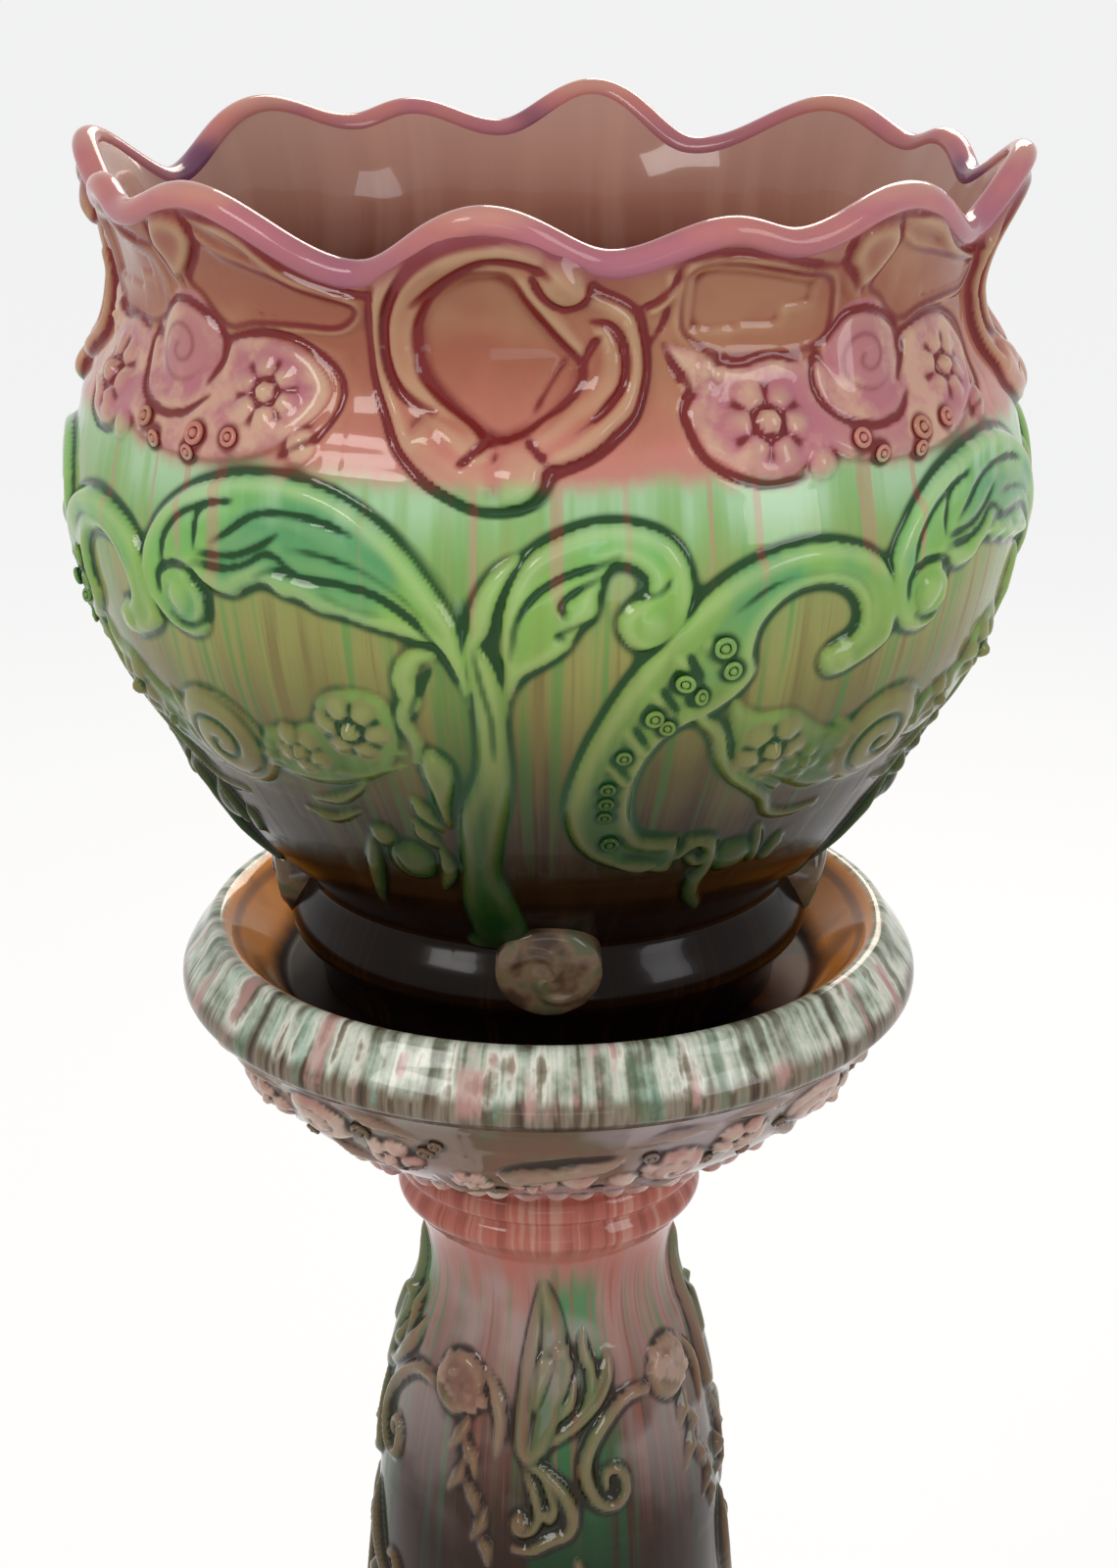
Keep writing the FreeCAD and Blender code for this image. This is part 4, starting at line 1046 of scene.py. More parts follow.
class Net:
    """A node tree, to which any node is added by its type, its settings and its sockets."""

    def __init__(self, tree):
        self.tree = tree

    def add(self, kind, settings=None, sockets=None, out=0):
        node = self.tree.nodes.new(kind)
        for name, setting in (settings or {}).items():
            if name == "stops":
                self.set_stops(node.color_ramp, setting)
            else:
                setattr(node, name, setting)
        for name, value in (sockets or {}).items():
            if isinstance(value, Value):
                self.tree.links.new(value.socket, node.inputs[name])
            else:
                node.inputs[name].default_value = value
        return Value(self, node.outputs[out]) if len(node.outputs) else node

    def set_stops(self, ramp, stops):
        while len(ramp.elements) < len(stops):
            ramp.elements.new(1.0)
        for element, (place, colour) in zip(ramp.elements, stops):
            element.position = place
            element.color = (*colour, 1.0)

    def step(self, value, low, high):
        """0 below low and 1 above high, easing between."""
        return self.add("ShaderNodeMapRange", {"interpolation_type": "SMOOTHSTEP"},
                        {"Value": value, "From Min": low, "From Max": high})

    def mix(self, factor, first, second):
        """Two colours mixed."""
        first, second = (c if isinstance(c, Value) else (*c, 1.0) for c in (first, second))
        return self.add("ShaderNodeMix", {"data_type": "RGBA"}, {0: factor, 6: first, 7: second}, 2)

    def mark(self, name):
        """A mark stored on the mesh."""
        return self.add("ShaderNodeAttribute", {"attribute_name": name}, out="Fac")

    def noise(self, vector, scale, detail=3.0, rough=0.5):
        return self.add("ShaderNodeTexNoise", None,
                        {"Vector": vector, "Scale": scale, "Detail": detail, "Roughness": rough})

    def vector(self, operation, sockets, out=0):
        """A Vector Math node."""
        return self.add("ShaderNodeVectorMath", {"operation": operation}, sockets, out)

    def flat(self, place):
        """A place without its height."""
        return self.vector("MULTIPLY", {0: place, 1: (1.0, 1.0, 0.0)})

    def part(self, vector, axis):
        """A vector's X, Y or Z."""
        return self.add("ShaderNodeSeparateXYZ", None, {"Vector": vector}, axis)

    def ramp(self, share, stops):
        """Colours along a share of 0 to 1."""
        return self.add("ShaderNodeValToRGB", {"stops": stops}, {"Fac": share})

    def surface(self, output, factor, first, second):
        """End a tree in two shaders, mixed."""
        mixed = self.add("ShaderNodeMixShader", None, {0: factor, 1: first, 2: second})
        self.add(output, None, {"Surface": mixed})


def cleared_net(owner):
    """The empty node tree of a material or a world."""
    owner.use_nodes = True
    owner.node_tree.nodes.clear()
    return Net(owner.node_tree)


def geometry_net(name, inputs):
    """A geometry node tree with named inputs, its net and its group inputs by name."""
    tree = bpy.data.node_groups.new(name, "GeometryNodeTree")
    tree.interface.new_socket("Geometry", in_out="INPUT", socket_type="NodeSocketGeometry")
    for label, (kind, value) in inputs.items():
        socket = tree.interface.new_socket(label, in_out="INPUT", socket_type=kind)
        if value is not None:
            socket.default_value = value
    tree.interface.new_socket("Geometry", in_out="OUTPUT", socket_type="NodeSocketGeometry")
    net = Net(tree)
    return net, net.add("NodeGroupInput")


def close_net(net, geometry, material):
    """End a tree in real geometry with its material."""
    real = net.add("GeometryNodeRealizeInstances", None, {"Geometry": geometry})
    smooth = net.add("GeometryNodeSetShadeSmooth", None, {"Geometry": real})
    done = net.add("GeometryNodeSetMaterial", None, {"Geometry": smooth, "Material": material})
    net.add("NodeGroupOutput", None, {"Geometry": done})


def grow(piece, tree, values):
    """Run a tree on a piece with its inputs set, and keep the result as a plain mesh."""
    modifier = piece.modifiers.new(tree.name, "NODES")
    modifier.node_group = tree
    for item in tree.interface.items_tree:
        if item.item_type == "SOCKET" and item.in_out == "INPUT" and item.name in values:
            modifier[item.identifier] = values[item.name]
    plain_mesh(piece)


def lip_tree(material):
    """A rounded lip swept along the waved path of the rim."""
    net, inputs = geometry_net("Rolled lip", {"Half thickness": ("NodeSocketFloat", 0.005),
                                              "Sides": ("NodeSocketInt", 18)})
    path = net.add("GeometryNodeMeshToCurve", None, {"Mesh": inputs})
    ring = net.add("GeometryNodeCurvePrimitiveCircle", None,
                   {"Resolution": inputs.output("Sides"), "Radius": inputs.output("Half thickness")})
    lip = net.add("GeometryNodeCurveToMesh", None, {"Curve": path, "Profile Curve": ring})
    close_net(net, lip, material)
    return net.tree


def ring_bead_tree(material):
    """A ring with a bead in it, set on every point and faced along the point's own direction."""
    net, inputs = geometry_net("Ringed beads", {"Ring sides": ("NodeSocketInt", 20),
                                                "Ring thickness": ("NodeSocketFloat", 0.26)})
    path = net.add("GeometryNodeCurvePrimitiveCircle", None,
                   {"Resolution": inputs.output("Ring sides"), "Radius": 0.74})
    section = net.add("GeometryNodeCurvePrimitiveCircle", None,
                      {"Resolution": 8, "Radius": inputs.output("Ring thickness")})
    ring = net.add("GeometryNodeCurveToMesh", None, {"Curve": path, "Profile Curve": section})
    bead = net.add("GeometryNodeMeshUVSphere", None, {"Segments": 14, "Rings": 8, "Radius": 0.42})
    both = net.add("GeometryNodeJoinGeometry", None, {"Geometry": ring})
    net.tree.links.new(bead.socket, both.socket.node.inputs["Geometry"])
    facing = net.add("GeometryNodeInputNamedAttribute", {"data_type": "FLOAT_VECTOR"}, {"Name": "facing"})
    size = net.add("GeometryNodeInputNamedAttribute", {"data_type": "FLOAT"}, {"Name": "size"})
    turned = net.add("FunctionNodeAlignRotationToVector", {"axis": "Z"}, {"Vector": facing})
    beads = net.add("GeometryNodeInstanceOnPoints", None,
                    {"Points": inputs, "Instance": both, "Rotation": turned, "Scale": size})
    close_net(net, beads, material)
    return net.tree


def rosette_tree(material):
    """Rosettes set at equal turns round the foot."""
    net, inputs = geometry_net("Foot rosettes", {"Count": ("NodeSocketInt", 4)})
    count = inputs.output("Count")
    points = net.add("GeometryNodePoints", None, {"Count": count, "Position": (0.0, 0.0, 0.0)})
    place = net.add("GeometryNodeInputIndex")
    turn = net.add("ShaderNodeCombineXYZ", None, {"Z": place * (2 * math.pi) / count})
    set_round = net.add("GeometryNodeInstanceOnPoints", None,
                        {"Points": points, "Instance": inputs, "Rotation": turn})
    close_net(net, set_round, material)
    return net.tree


# ---- Glazes ------------------------------------------------------------------------------------------

class Glaze(Net):
    """A glossy glaze over a fired body. Its place, and its height in mm, drive its colours."""

    def __init__(self, name, roughness=0.18, coat=0.35):
        self.material = bpy.data.materials.new(name)
        super().__init__(cleared_net(self.material).tree)
        self.place = self.add("ShaderNodeTexCoord", out="Object")
        ripple = self.noise(self.place, 28.0, 2.0)
        bump = self.add("ShaderNodeBump", None, {"Height": ripple, "Strength": 0.25, "Distance": 0.0015})
        shader = self.add("ShaderNodeBsdfPrincipled", None, {
            "Roughness": roughness, "IOR": 1.35, "Specular IOR Level": 0.12, "Coat Weight": coat,
            "Coat Roughness": 0.03, "Coat IOR": 1.4, "Normal": bump})
        self.add("ShaderNodeOutputMaterial", None, {"Surface": shader})
        self.shader = shader.socket.node
        self.height = self.part(self.place, "Z") * (1 / MM)

    def patches(self, scale, detail=3.0, rough=0.5):
        """Noise in every direction."""
        return self.noise(self.place, scale, detail, rough)

    def runs(self, across, up, shift=0.0, detail=3.0):
        """Noise that runs down a turned surface: fine round the axis and long along its line."""
        level = self.part(self.place, "Z") * up + shift
        way = self.vector("NORMALIZE", {0: self.flat(self.place)})
        spread = self.vector("SCALE", {0: way, "Scale": across})
        lift = self.add("ShaderNodeCombineXYZ", None, {"Z": level})
        return self.noise(self.vector("ADD", {0: spread, 1: lift}), 1.0, detail, 0.55)

    def by_height(self, level, span, stops):
        """Colours by height: each stop is a height in mm and a colour."""
        low, high = span
        return self.ramp((level - low) / (high - low), [((h - low) / (high - low), c) for h, c in stops])

    def finish(self, **drives):
        """Drive the shader's sockets, named with _ for a space, and give the material."""
        for name, value in drives.items():
            self.tree.links.new(value.socket, self.shader.inputs[name.replace("_", " ")])
        return self.material


def shared(make, glazes, name):
    """The glaze of that name, made only once."""
    return bpy.data.materials.get(name) or make(glazes)


def bowl_glaze(glazes):
    """Rose on the neck, running down into apple green, olive and near-black brown at the foot."""
    glaze = Glaze("running_bowl_glaze")
    height, mix, step, mark = glaze.height, glaze.mix, glaze.step, glaze.mark
    fine = glaze.runs(30, 5)
    broad = glaze.runs(10, 3, 4.0)
    mottle = glaze.patches(42.0, 4.0, 0.6)
    cloudy = glaze.patches(15.0, 3.0, 0.55)
    level = height + (broad - 0.5) * 60 + (fine - 0.5) * 30
    ground = glaze.by_height(level, BODY_SPAN, [
        (654, (0.003, 0.0015, 0.001)), (725, (0.007, 0.003, 0.0015)), (750, (0.014, 0.006, 0.002)),
        (770, (0.030, 0.016, 0.006)), (795, (0.075, 0.055, 0.017)), (820, (0.155, 0.135, 0.040)),
        (845, (0.235, 0.225, 0.066)), (866, (0.24, 0.275, 0.082)), (887, (0.21, 0.36, 0.12)),
        (910, (0.26, 0.44, 0.22))])
    leafy = glaze.by_height(level, BODY_SPAN, [
        (654, (0.003, 0.008, 0.002)), (715, (0.003, 0.022, 0.004)), (755, (0.010, 0.036, 0.006)),
        (785, (0.034, 0.074, 0.014)), (815, (0.115, 0.19, 0.040)), (845, (0.18, 0.31, 0.062)),
        (870, (0.18, 0.37, 0.072)), (892, (0.15, 0.38, 0.10)), (912, (0.13, 0.33, 0.16))])
    green_runs = step(fine, 0.50, 0.64) * step(height, 738, 800) * step(height, 905, 862)
    run_green = mix(step(height, 780, 880), (0.020, 0.075, 0.014), (0.105, 0.27, 0.06))
    ground = mix(green_runs * 0.7, ground, run_green)
    brown_runs = step(fine, 0.46, 0.36) * step(height, 880, 840)
    run_brown = mix(step(height, 740, 830), (0.012, 0.005, 0.002), (0.145, 0.105, 0.035))
    ground = mix(brown_runs * 0.6, ground, run_brown)
    teal = step(cloudy, 0.50, 0.62) * step(height, 790, 890)
    leafy = mix(teal * 0.7, leafy, tuple(glazes.teal_green))
    olive = mix(step(height, 740, 850), (0.008, 0.020, 0.004), (0.16, 0.24, 0.06))
    leafy = mix(step(cloudy, 0.45, 0.36) * 0.5, leafy, olive)
    body = mix(mark("band") * 0.9, ground, leafy)
    tan = glaze.by_height(level, BODY_SPAN, [
        (654, (0.02, 0.008, 0.004)), (735, (0.05, 0.022, 0.008)), (775, (0.105, 0.070, 0.026)),
        (815, (0.165, 0.145, 0.052)), (850, (0.20, 0.20, 0.07)), (912, (0.34, 0.30, 0.16))])
    body = mix(mark("bloom") * 0.75, body, tan)
    mint = step(height, 880, 900) * step(height, 920, 908) * step(broad, 0.42, 0.56)
    body = mix(mint * 0.7, body, (0.36, 0.53, 0.33))
    rose = glaze.by_height(height + (mottle - 0.5) * 26, NECK_SPAN, [
        (890, (0.42, 0.22, 0.17)), (916, (0.46, 0.17, 0.13)), (930, (0.38, 0.13, 0.085)),
        (945, (0.29, 0.095, 0.055)), (965, (0.26, 0.088, 0.048)), (990, (0.23, 0.062, 0.042))])
    rose = mix(step(cloudy, 0.44, 0.60) * 0.5, rose, (0.36, 0.19, 0.10))
    petals = mix(step(mottle, 0.42, 0.62), tuple(glazes.mauve), (0.54, 0.33, 0.24))
    rose = mix(mark("bloom") * 0.8, rose, petals)
    streak = glaze.runs(24, 0.5, 9.0, 1.0)
    length = glaze.runs(9, 0.5, 2.0, 1.0)
    drip = step(streak, 0.61, 0.66) * step(height + length * 60, 888, 908)
    border = step(height + (broad - 0.5) * 20 + (mottle - 0.5) * 8, 900, 910)
    pink = 1 - (1 - border) * (1 - drip * step(height, 916, 900) * 0.55)
    colour = mix(pink, body, rose)
    dark = mix(step(height, 735, 800), (0.004, 0.003, 0.0015), tuple(glazes.dark_green))
    pooled = mix(pink, dark, tuple(glazes.deep_red))
    pale = glaze.by_height(height, BODY_SPAN, [
        (654, (0.02, 0.012, 0.007)), (725, (0.035, 0.030, 0.012)), (770, (0.13, 0.095, 0.040)),
        (810, (0.23, 0.225, 0.08)), (850, (0.34, 0.42, 0.15)), (900, (0.42, 0.56, 0.26))])
    thinned = mix(pink, pale, (0.50, 0.36, 0.20))
    colour = mix(mark("thin") * 0.46, colour, thinned)
    colour = mix(step(mark("pool"), 0.04, 0.72) * 0.97, colour, pooled)
    colour = mix(mark("rim") * step(cloudy, 0.36, 0.58) * 0.75, colour, (0.27, 0.085, 0.11))
    return glaze.finish(Base_Color=colour, Coat_Weight=0.08 + 0.32 * step(height, 720, 860))


def inside_glaze(glazes):
    """Dusty rose on the inside, browner lower down, and painted darker there as the shade deep in the bowl.
    """
    glaze = Glaze("rose_inside_glaze", 0.2)
    height, mix, step = glaze.height, glaze.mix, glaze.step
    mottle = glaze.patches(16.0, 4.0, 0.6)
    runs = glaze.runs(9, 3)
    # Partly painted shade: the colour darkens steadily towards the bottom of the bowl
    colour = glaze.by_height(height + (mottle - 0.5) * 24, INSIDE_SPAN, [
        (700, (0.10, 0.03, 0.02)), (860, (0.17, 0.052, 0.034)), (930, (0.25, 0.088, 0.062)),
        (965, (0.34, 0.165, 0.12)), (990, (0.37, 0.20, 0.155))])
    colour = mix(step(runs, 0.44, 0.66) * 0.35, colour, tuple(glazes.rose_inside))
    return glaze.finish(Base_Color=colour)


def lip_glaze():
    """Thick rose and mauve on the lip, purple where it dips, with a painted highlight along its top."""
    glaze = Glaze("mauve_lip_glaze", 0.14)
    height, mix, step = glaze.height, glaze.mix, glaze.step
    mottle = glaze.patches(24.0, 3.0, 0.6)
    low = step(height + (mottle - 0.5) * 18, 992, 974)
    colour = mix(step(mottle, 0.42, 0.62), (0.45, 0.16, 0.135), (0.40, 0.135, 0.155))
    # Painted highlight: the top of the lip is lightened towards tan
    colour = mix(step(height, 990, 997) * 0.5, colour, (0.52, 0.28, 0.20))
    colour = mix(low * 0.6, colour, (0.27, 0.095, 0.145))
    spots = step(glaze.patches(13.0, 2.0), 0.54, 0.66) * step(height, 994, 982)
    colour = mix(spots * 0.85, colour, (0.10, 0.028, 0.085))
    return glaze.finish(Base_Color=colour)


def rosette_glaze():
    """Mottled brown glaze with a little green in it."""
    glaze = Glaze("brown_button_glaze", 0.1)
    mix, step = glaze.mix, glaze.step
    mottle = glaze.patches(60.0, 3.0)
    colour = mix(step(mottle, 0.4, 0.6), (0.045, 0.026, 0.017), (0.13, 0.085, 0.050))
    colour = mix(step(mottle, 0.56, 0.66) * 0.5, colour, (0.02, 0.07, 0.03))
    return glaze.finish(Base_Color=colour)


def dish_glaze(glazes):
    """Streaked grey-green, cream, rose and brown on the rim, with painted sky reflection on its upper band;
    brown in the dish, painted orange as warm sunlight on the inner slope and near-black as shade on the
    deck.
    """
    glaze = Glaze("streaked_dish_glaze", 0.15)
    height, mix, step = glaze.height, glaze.mix, glaze.step
    fine = glaze.runs(22, 12)
    broad = glaze.runs(12, 14, 7.0)
    patch = glaze.patches(38.0, 4.0, 0.6)
    blot = glaze.patches(26.0, 3.0, 0.55)
    # Partly painted sky reflection and highlight: the upward-facing upper band gets cream and pale
    # grey-green streaks over the streaked glaze and is lighter than the lower band
    upper = glaze.ramp((fine + patch) * 0.5, [
        (0.36, (0.055, 0.045, 0.03)), (0.43, (0.16, 0.165, 0.115)), (0.49, (0.38, 0.42, 0.33)),
        (0.55, (0.62, 0.61, 0.52)), (0.60, (0.24, 0.21, 0.15)), (0.68, (0.07, 0.055, 0.035))])
    lower = glaze.ramp(fine, [
        (0.34, (0.045, 0.028, 0.017)), (0.45, (0.12, 0.085, 0.055)), (0.54, (0.20, 0.165, 0.12)),
        (0.64, (0.09, 0.062, 0.038))])
    colour = mix(step(height + (fine - 0.5) * 12, 660, 666), lower, upper)
    rosy = step(broad, 0.54, 0.62) * step(height, 652, 660) * step(patch, 0.40, 0.52)
    colour = mix(rosy * 0.7, colour, (0.42, 0.22, 0.20))
    green = step(broad, 0.46, 0.38) * step(blot, 0.38, 0.52)
    green_colour = mix(step(patch, 0.42, 0.6), (0.055, 0.13, 0.065), (0.22, 0.40, 0.31))
    colour = mix(green * 0.5, colour, green_colour)
    flat = glaze.flat(glaze.place)
    radius = glaze.vector("LENGTH", {0: flat}, "Value") * (1 / MM)
    within = step(radius + (fine - 0.5) * 3, 137.5, 134)
    # Painted shade: the deck under the bowl, inside about 112 to 120 mm, is near-black
    sunlit_amber = mix(step(radius + (patch - 0.5) * 5, 112, 120), (0.004, 0.002, 0.001), tuple(glazes.sunlit_amber))
    turn = glaze.vector("SCALE", {0: flat, "Scale": 14.0})
    sunlit_amber = mix(step(glaze.noise(turn, 1.0, 3.0), 0.56, 0.68) * 0.6, sunlit_amber, (0.12, 0.034, 0.006))
    sunlit_amber = mix(step(radius + (patch - 0.5) * 3, 128, 130) * step(radius, 133, 131) * 0.6, sunlit_amber,
                    (0.16, 0.045, 0.008))
    # Within the rim the dish takes its inside colours: brown glaze brightened to orange on the slope as
    # painted warm sunlight
    colour = mix(within, colour, sunlit_amber)
    # Painted shade: below 654 mm, where the rim turns under, the colour is darkened
    edge = step(height, 654, 650)
    colour = mix(edge * 0.8, colour, (0.035, 0.022, 0.012))
    gloss = 0.35 * step(radius, 112, 122)
    return glaze.finish(Base_Color=colour, Coat_Weight=gloss, Roughness=0.5 - gloss)


def stand_glaze(glazes):
    """Rose under the dish and on the collar, then green and brown runs down the shaft."""
    glaze = Glaze("running_stand_glaze", 0.15)
    height, mix, step, mark = glaze.height, glaze.mix, glaze.step, glaze.mark
    fine = glaze.runs(14, 6)
    broad = glaze.runs(4.5, 2.5, 2.0)
    patch = glaze.patches(34.0, 4.0, 0.6)
    cloudy = glaze.patches(13.0, 3.0, 0.55)
    level = height + (broad - 0.5) * 90 + (fine - 0.5) * 40
    colour = glaze.by_height(level, STAND_SPAN, [
        (0, (0.012, 0.006, 0.004)), (60, (0.03, 0.016, 0.009)), (130, (0.06, 0.045, 0.024)),
        (200, (0.025, 0.011, 0.006)), (300, (0.018, 0.007, 0.004)), (400, (0.020, 0.008, 0.004)),
        (435, (0.040, 0.017, 0.010)), (462, (0.10, 0.048, 0.036)), (488, (0.20, 0.12, 0.10)),
        (515, (0.28, 0.155, 0.13)), (545, (0.33, 0.105, 0.078)), (580, (0.36, 0.10, 0.070)),
        (598, (0.21, 0.10, 0.075)), (650, (0.14, 0.09, 0.058))])
    under = step(height, 583, 592)
    colour = mix(under * step(patch, 0.50, 0.62) * 0.55, colour, (0.12, 0.13, 0.08))
    colour = mix(under * step(cloudy, 0.46, 0.58) * 0.7, colour, (0.27, 0.20, 0.21))
    on_collar = step(height, 540, 552) * step(height, 590, 580)
    colour = mix(on_collar * step(fine, 0.50, 0.62) * 0.6, colour, (0.20, 0.05, 0.035))
    colour = mix(on_collar * step(fine, 0.46, 0.36) * 0.5, colour, (0.44, 0.27, 0.20))
    colour = mix(step(height, 553, 560) * step(height, 588, 580) * step(cloudy, 0.5, 0.62) * 0.5,
                     colour, (0.42, 0.26, 0.21))
    below = step(height + (fine - 0.5) * 30, 540, 520)
    way = glaze.vector("NORMALIZE", {0: glaze.flat(glaze.place)})
    side, front = glaze.part(way, "X"), 0 - glaze.part(way, "Y")
    ahead = 1 - 8 * side * side * front * front
    aslant = 4 * side * front * (front * front - side * side)
    nearest = ahead * math.cos(LEAF_TURN) + aslant * math.sin(LEAF_TURN)
    leaf_side = step(nearest + (fine - 0.5) * 1.2, 0.30, 0.75)
    green = 1 - (1 - leaf_side * 0.85) * (1 - step(fine, 0.55, 0.66) * 0.6)
    green_colour = mix(step(height, 390, 510), (0.005, 0.028, 0.008), (0.040, 0.165, 0.060))
    colour = mix(green * below, colour, green_colour)
    rosy_runs = step(fine, 0.44, 0.36) * below * step(height, 400, 480)
    colour = mix(rosy_runs * 0.7, colour, (0.22, 0.075, 0.05))
    pale = step(cloudy, 0.53, 0.64) * below * step(height, 400, 470)
    colour = mix(pale * 0.5, colour, (0.30, 0.25, 0.235))
    carved = mix(step(height, 380, 500), (0.045, 0.020, 0.008), (0.105, 0.062, 0.026))
    colour = mix(mark("band") * 0.42, colour, carved)
    petals = mix(under, mix(step(patch, 0.4, 0.6), (0.16, 0.07, 0.05), (0.36, 0.24, 0.19)),
                 mix(step(patch, 0.4, 0.6), (0.36, 0.14, 0.11), (0.56, 0.40, 0.32)))
    colour = mix(mark("bloom") * 0.7, colour, petals)
    colour = mix(mark("thin") * 0.32, colour, mix(under, (0.32, 0.21, 0.11), (0.44, 0.30, 0.22)))
    colour = mix(step(mark("pool"), 0.08, 0.7) * 0.9, colour, tuple(glazes.pooled_brown))
    return glaze.finish(Base_Color=colour)


def hollow_glaze():
    """Bare fired clay inside the pedestal."""
    glaze = Glaze("bare_clay", 0.75, 0.0)
    mix = glaze.mix
    mottle = glaze.patches(30.0)
    colour = mix(mottle, (0.50, 0.40, 0.29), (0.60, 0.50, 0.38))
    return glaze.finish(Base_Color=colour)


# ---- Pieces that grow from node trees -----------------------------------------------------------------

def build_lip(material, half):
    """The thick rounded lip, swept along the rim's wave."""
    degrees = np.arange(LIP_STEPS) * 360 / LIP_STEPS
    reach, drop = wave(degrees)
    path = turned_places(NECK_RADIUS + reach, degrees, TOP - drop - half - LIP_GAP) * MM
    mesh = bpy.data.meshes.new("bowl_lip")
    mesh.from_pydata(path.tolist(), [(step, (step + 1) % LIP_STEPS) for step in range(LIP_STEPS)], [])
    piece = add_object("bowl_lip", mesh)
    grow(piece, lip_tree(material), {"Half thickness": half * MM, "Sides": 20})
    face_outwards(piece)
    return piece


def build_rings(name, rings, places, degrees, heights, tree):
    """Ringed beads on a carved surface, at each ring's place in every quarter."""
    normals = skin_normals(places)
    spots, facings, sizes = [], [], []
    for quarter in range(4):
        for bearing, height, radius in rings:
            column = int(np.argmin(np.abs((degrees - bearing - quarter * QUARTER + 180) % 360 - 180)))
            row = int(np.argmin(np.abs(heights[:, column] - height)))
            spots.append((places[row, column] + normals[row, column] * RING_LIFT * radius) * MM)
            facings.append(normals[row, column])
            sizes.append(radius * MM)
    mesh = bpy.data.meshes.new(name)
    mesh.from_pydata(np.array(spots).tolist(), [], [])
    mesh.attributes.new("facing", "FLOAT_VECTOR", "POINT").data.foreach_set("vector", np.ravel(facings))
    for mark, values in (("size", sizes), ("band", [1.0] * len(sizes))):
        mesh.attributes.new(mark, "FLOAT", "POINT").data.foreach_set("value", values)
    piece = add_object(name, mesh)
    grow(piece, tree, {})
    face_outwards(piece)
    return piece


def build_rosettes(material, count):
    """Domed buttons with a curled face on the foot, one under each medallion."""
    depth = ROSETTE_FACE - ROSETTE_BACK
    face, wall = np.linspace(0.02, 1, ROSETTE_FACE_ROWS), np.ones(ROSETTE_WALL_ROWS)
    share = np.concatenate([face, wall])[::-1, None]
    bearing = np.radians(np.arange(ROSETTE_COLUMNS) * 360 / ROSETTE_COLUMNS)[None]
    dome = ROSETTE_DOME * np.sqrt(np.clip(1 - share ** 3, 0, 1))
    curl = np.clip(np.cos(2 * bearing - 7.0 * share), 0, 1) ** 2 * np.clip(np.sin(np.pi * share), 0, 1)
    knob = ROSETTE_KNOB * np.clip(1 - (share / ROSETTE_KNOB_SHARE) ** 2, 0, 1) ** 0.7
    lift = depth - ROSETTE_DOME + dome + ROSETTE_CURL * curl + knob
    climb = np.linspace(0, depth - ROSETTE_DOME, ROSETTE_WALL_ROWS, endpoint=False)
    lift[:ROSETTE_WALL_ROWS] = climb[:, None]
    radius = ROSETTE_RADIUS * share
    across, up = radius * np.cos(bearing), radius * np.sin(bearing)
    lean = math.radians(ROSETTE_LEAN)
    forward = lift * math.cos(lean) + up * math.sin(lean)
    height = DECK + ROSETTE_HEIGHT - lift * math.sin(lean) + up * math.cos(lean)
    places = np.stack([across, -(forward + ROSETTE_FACE - depth), height], axis=-1)
    piece = make_skin("rosettes", places)
    grow(piece, rosette_tree(material), {"Count": count})
    face_outwards(piece)
    return piece


# ---- The add-on --------------------------------------------------------------------------------------

def number_property(name, description, default, **limits):
    return bpy.props.FloatProperty(name=name, description=description, default=default, **limits)


def colour_property(name, description, default):
    return bpy.props.FloatVectorProperty(name=name, description=description, subtype="COLOR",
                                         default=default)


class JardiniereSizes(bpy.types.PropertyGroup):
    """Sizes of the carving."""

    relief: number_property("Relief", "How far the carving rises, against the real one", 1.0,
                            min=0.2, max=1.1, subtype="FACTOR")
    lip: number_property("Lip thickness", "Thickness of the rolled lip", 0.0104, unit="LENGTH")
    rosettes: bpy.props.IntProperty(name="Rosettes", description="Buttons round the bowl's foot", default=4)


class JardiniereGlazes(bpy.types.PropertyGroup):
    """Colours of the glazes."""

    teal_green: colour_property("Teal green", "Outer edges of the scrolls", (0.035, 0.22, 0.11))
    dark_green: colour_property("Dark green", "Pooled in the body's hollows", (0.008, 0.045, 0.010))
    deep_red: colour_property("Deep red", "Pooled in the neck's hollows", (0.15, 0.014, 0.014))
    mauve: colour_property("Mauve", "On the neck's flowers", (0.38, 0.13, 0.17))
    rose_inside: colour_property("Rose", "Inside the bowl", (0.42, 0.23, 0.17))
    # Painted warm sunlight: the bright orange given to the dish's brown inner slope
    sunlit_amber: colour_property("Amber", "On the dish's inner slope", (0.92, 0.34, 0.045))
    pooled_brown: colour_property("Pooled brown", "In the stand's hollows", (0.014, 0.008, 0.005))


class JardiniereStage(bpy.types.PropertyGroup):
    """Light and background."""

    key_power: number_property("Key lamp", "Power of the large lamp on the left", 38.0, subtype="POWER")
    fill_power: number_property("Fill lamp", "Power of the lamp on the right", 22.0, subtype="POWER")
    sky: number_property("Sky", "Strength of the light from all round", 0.5)


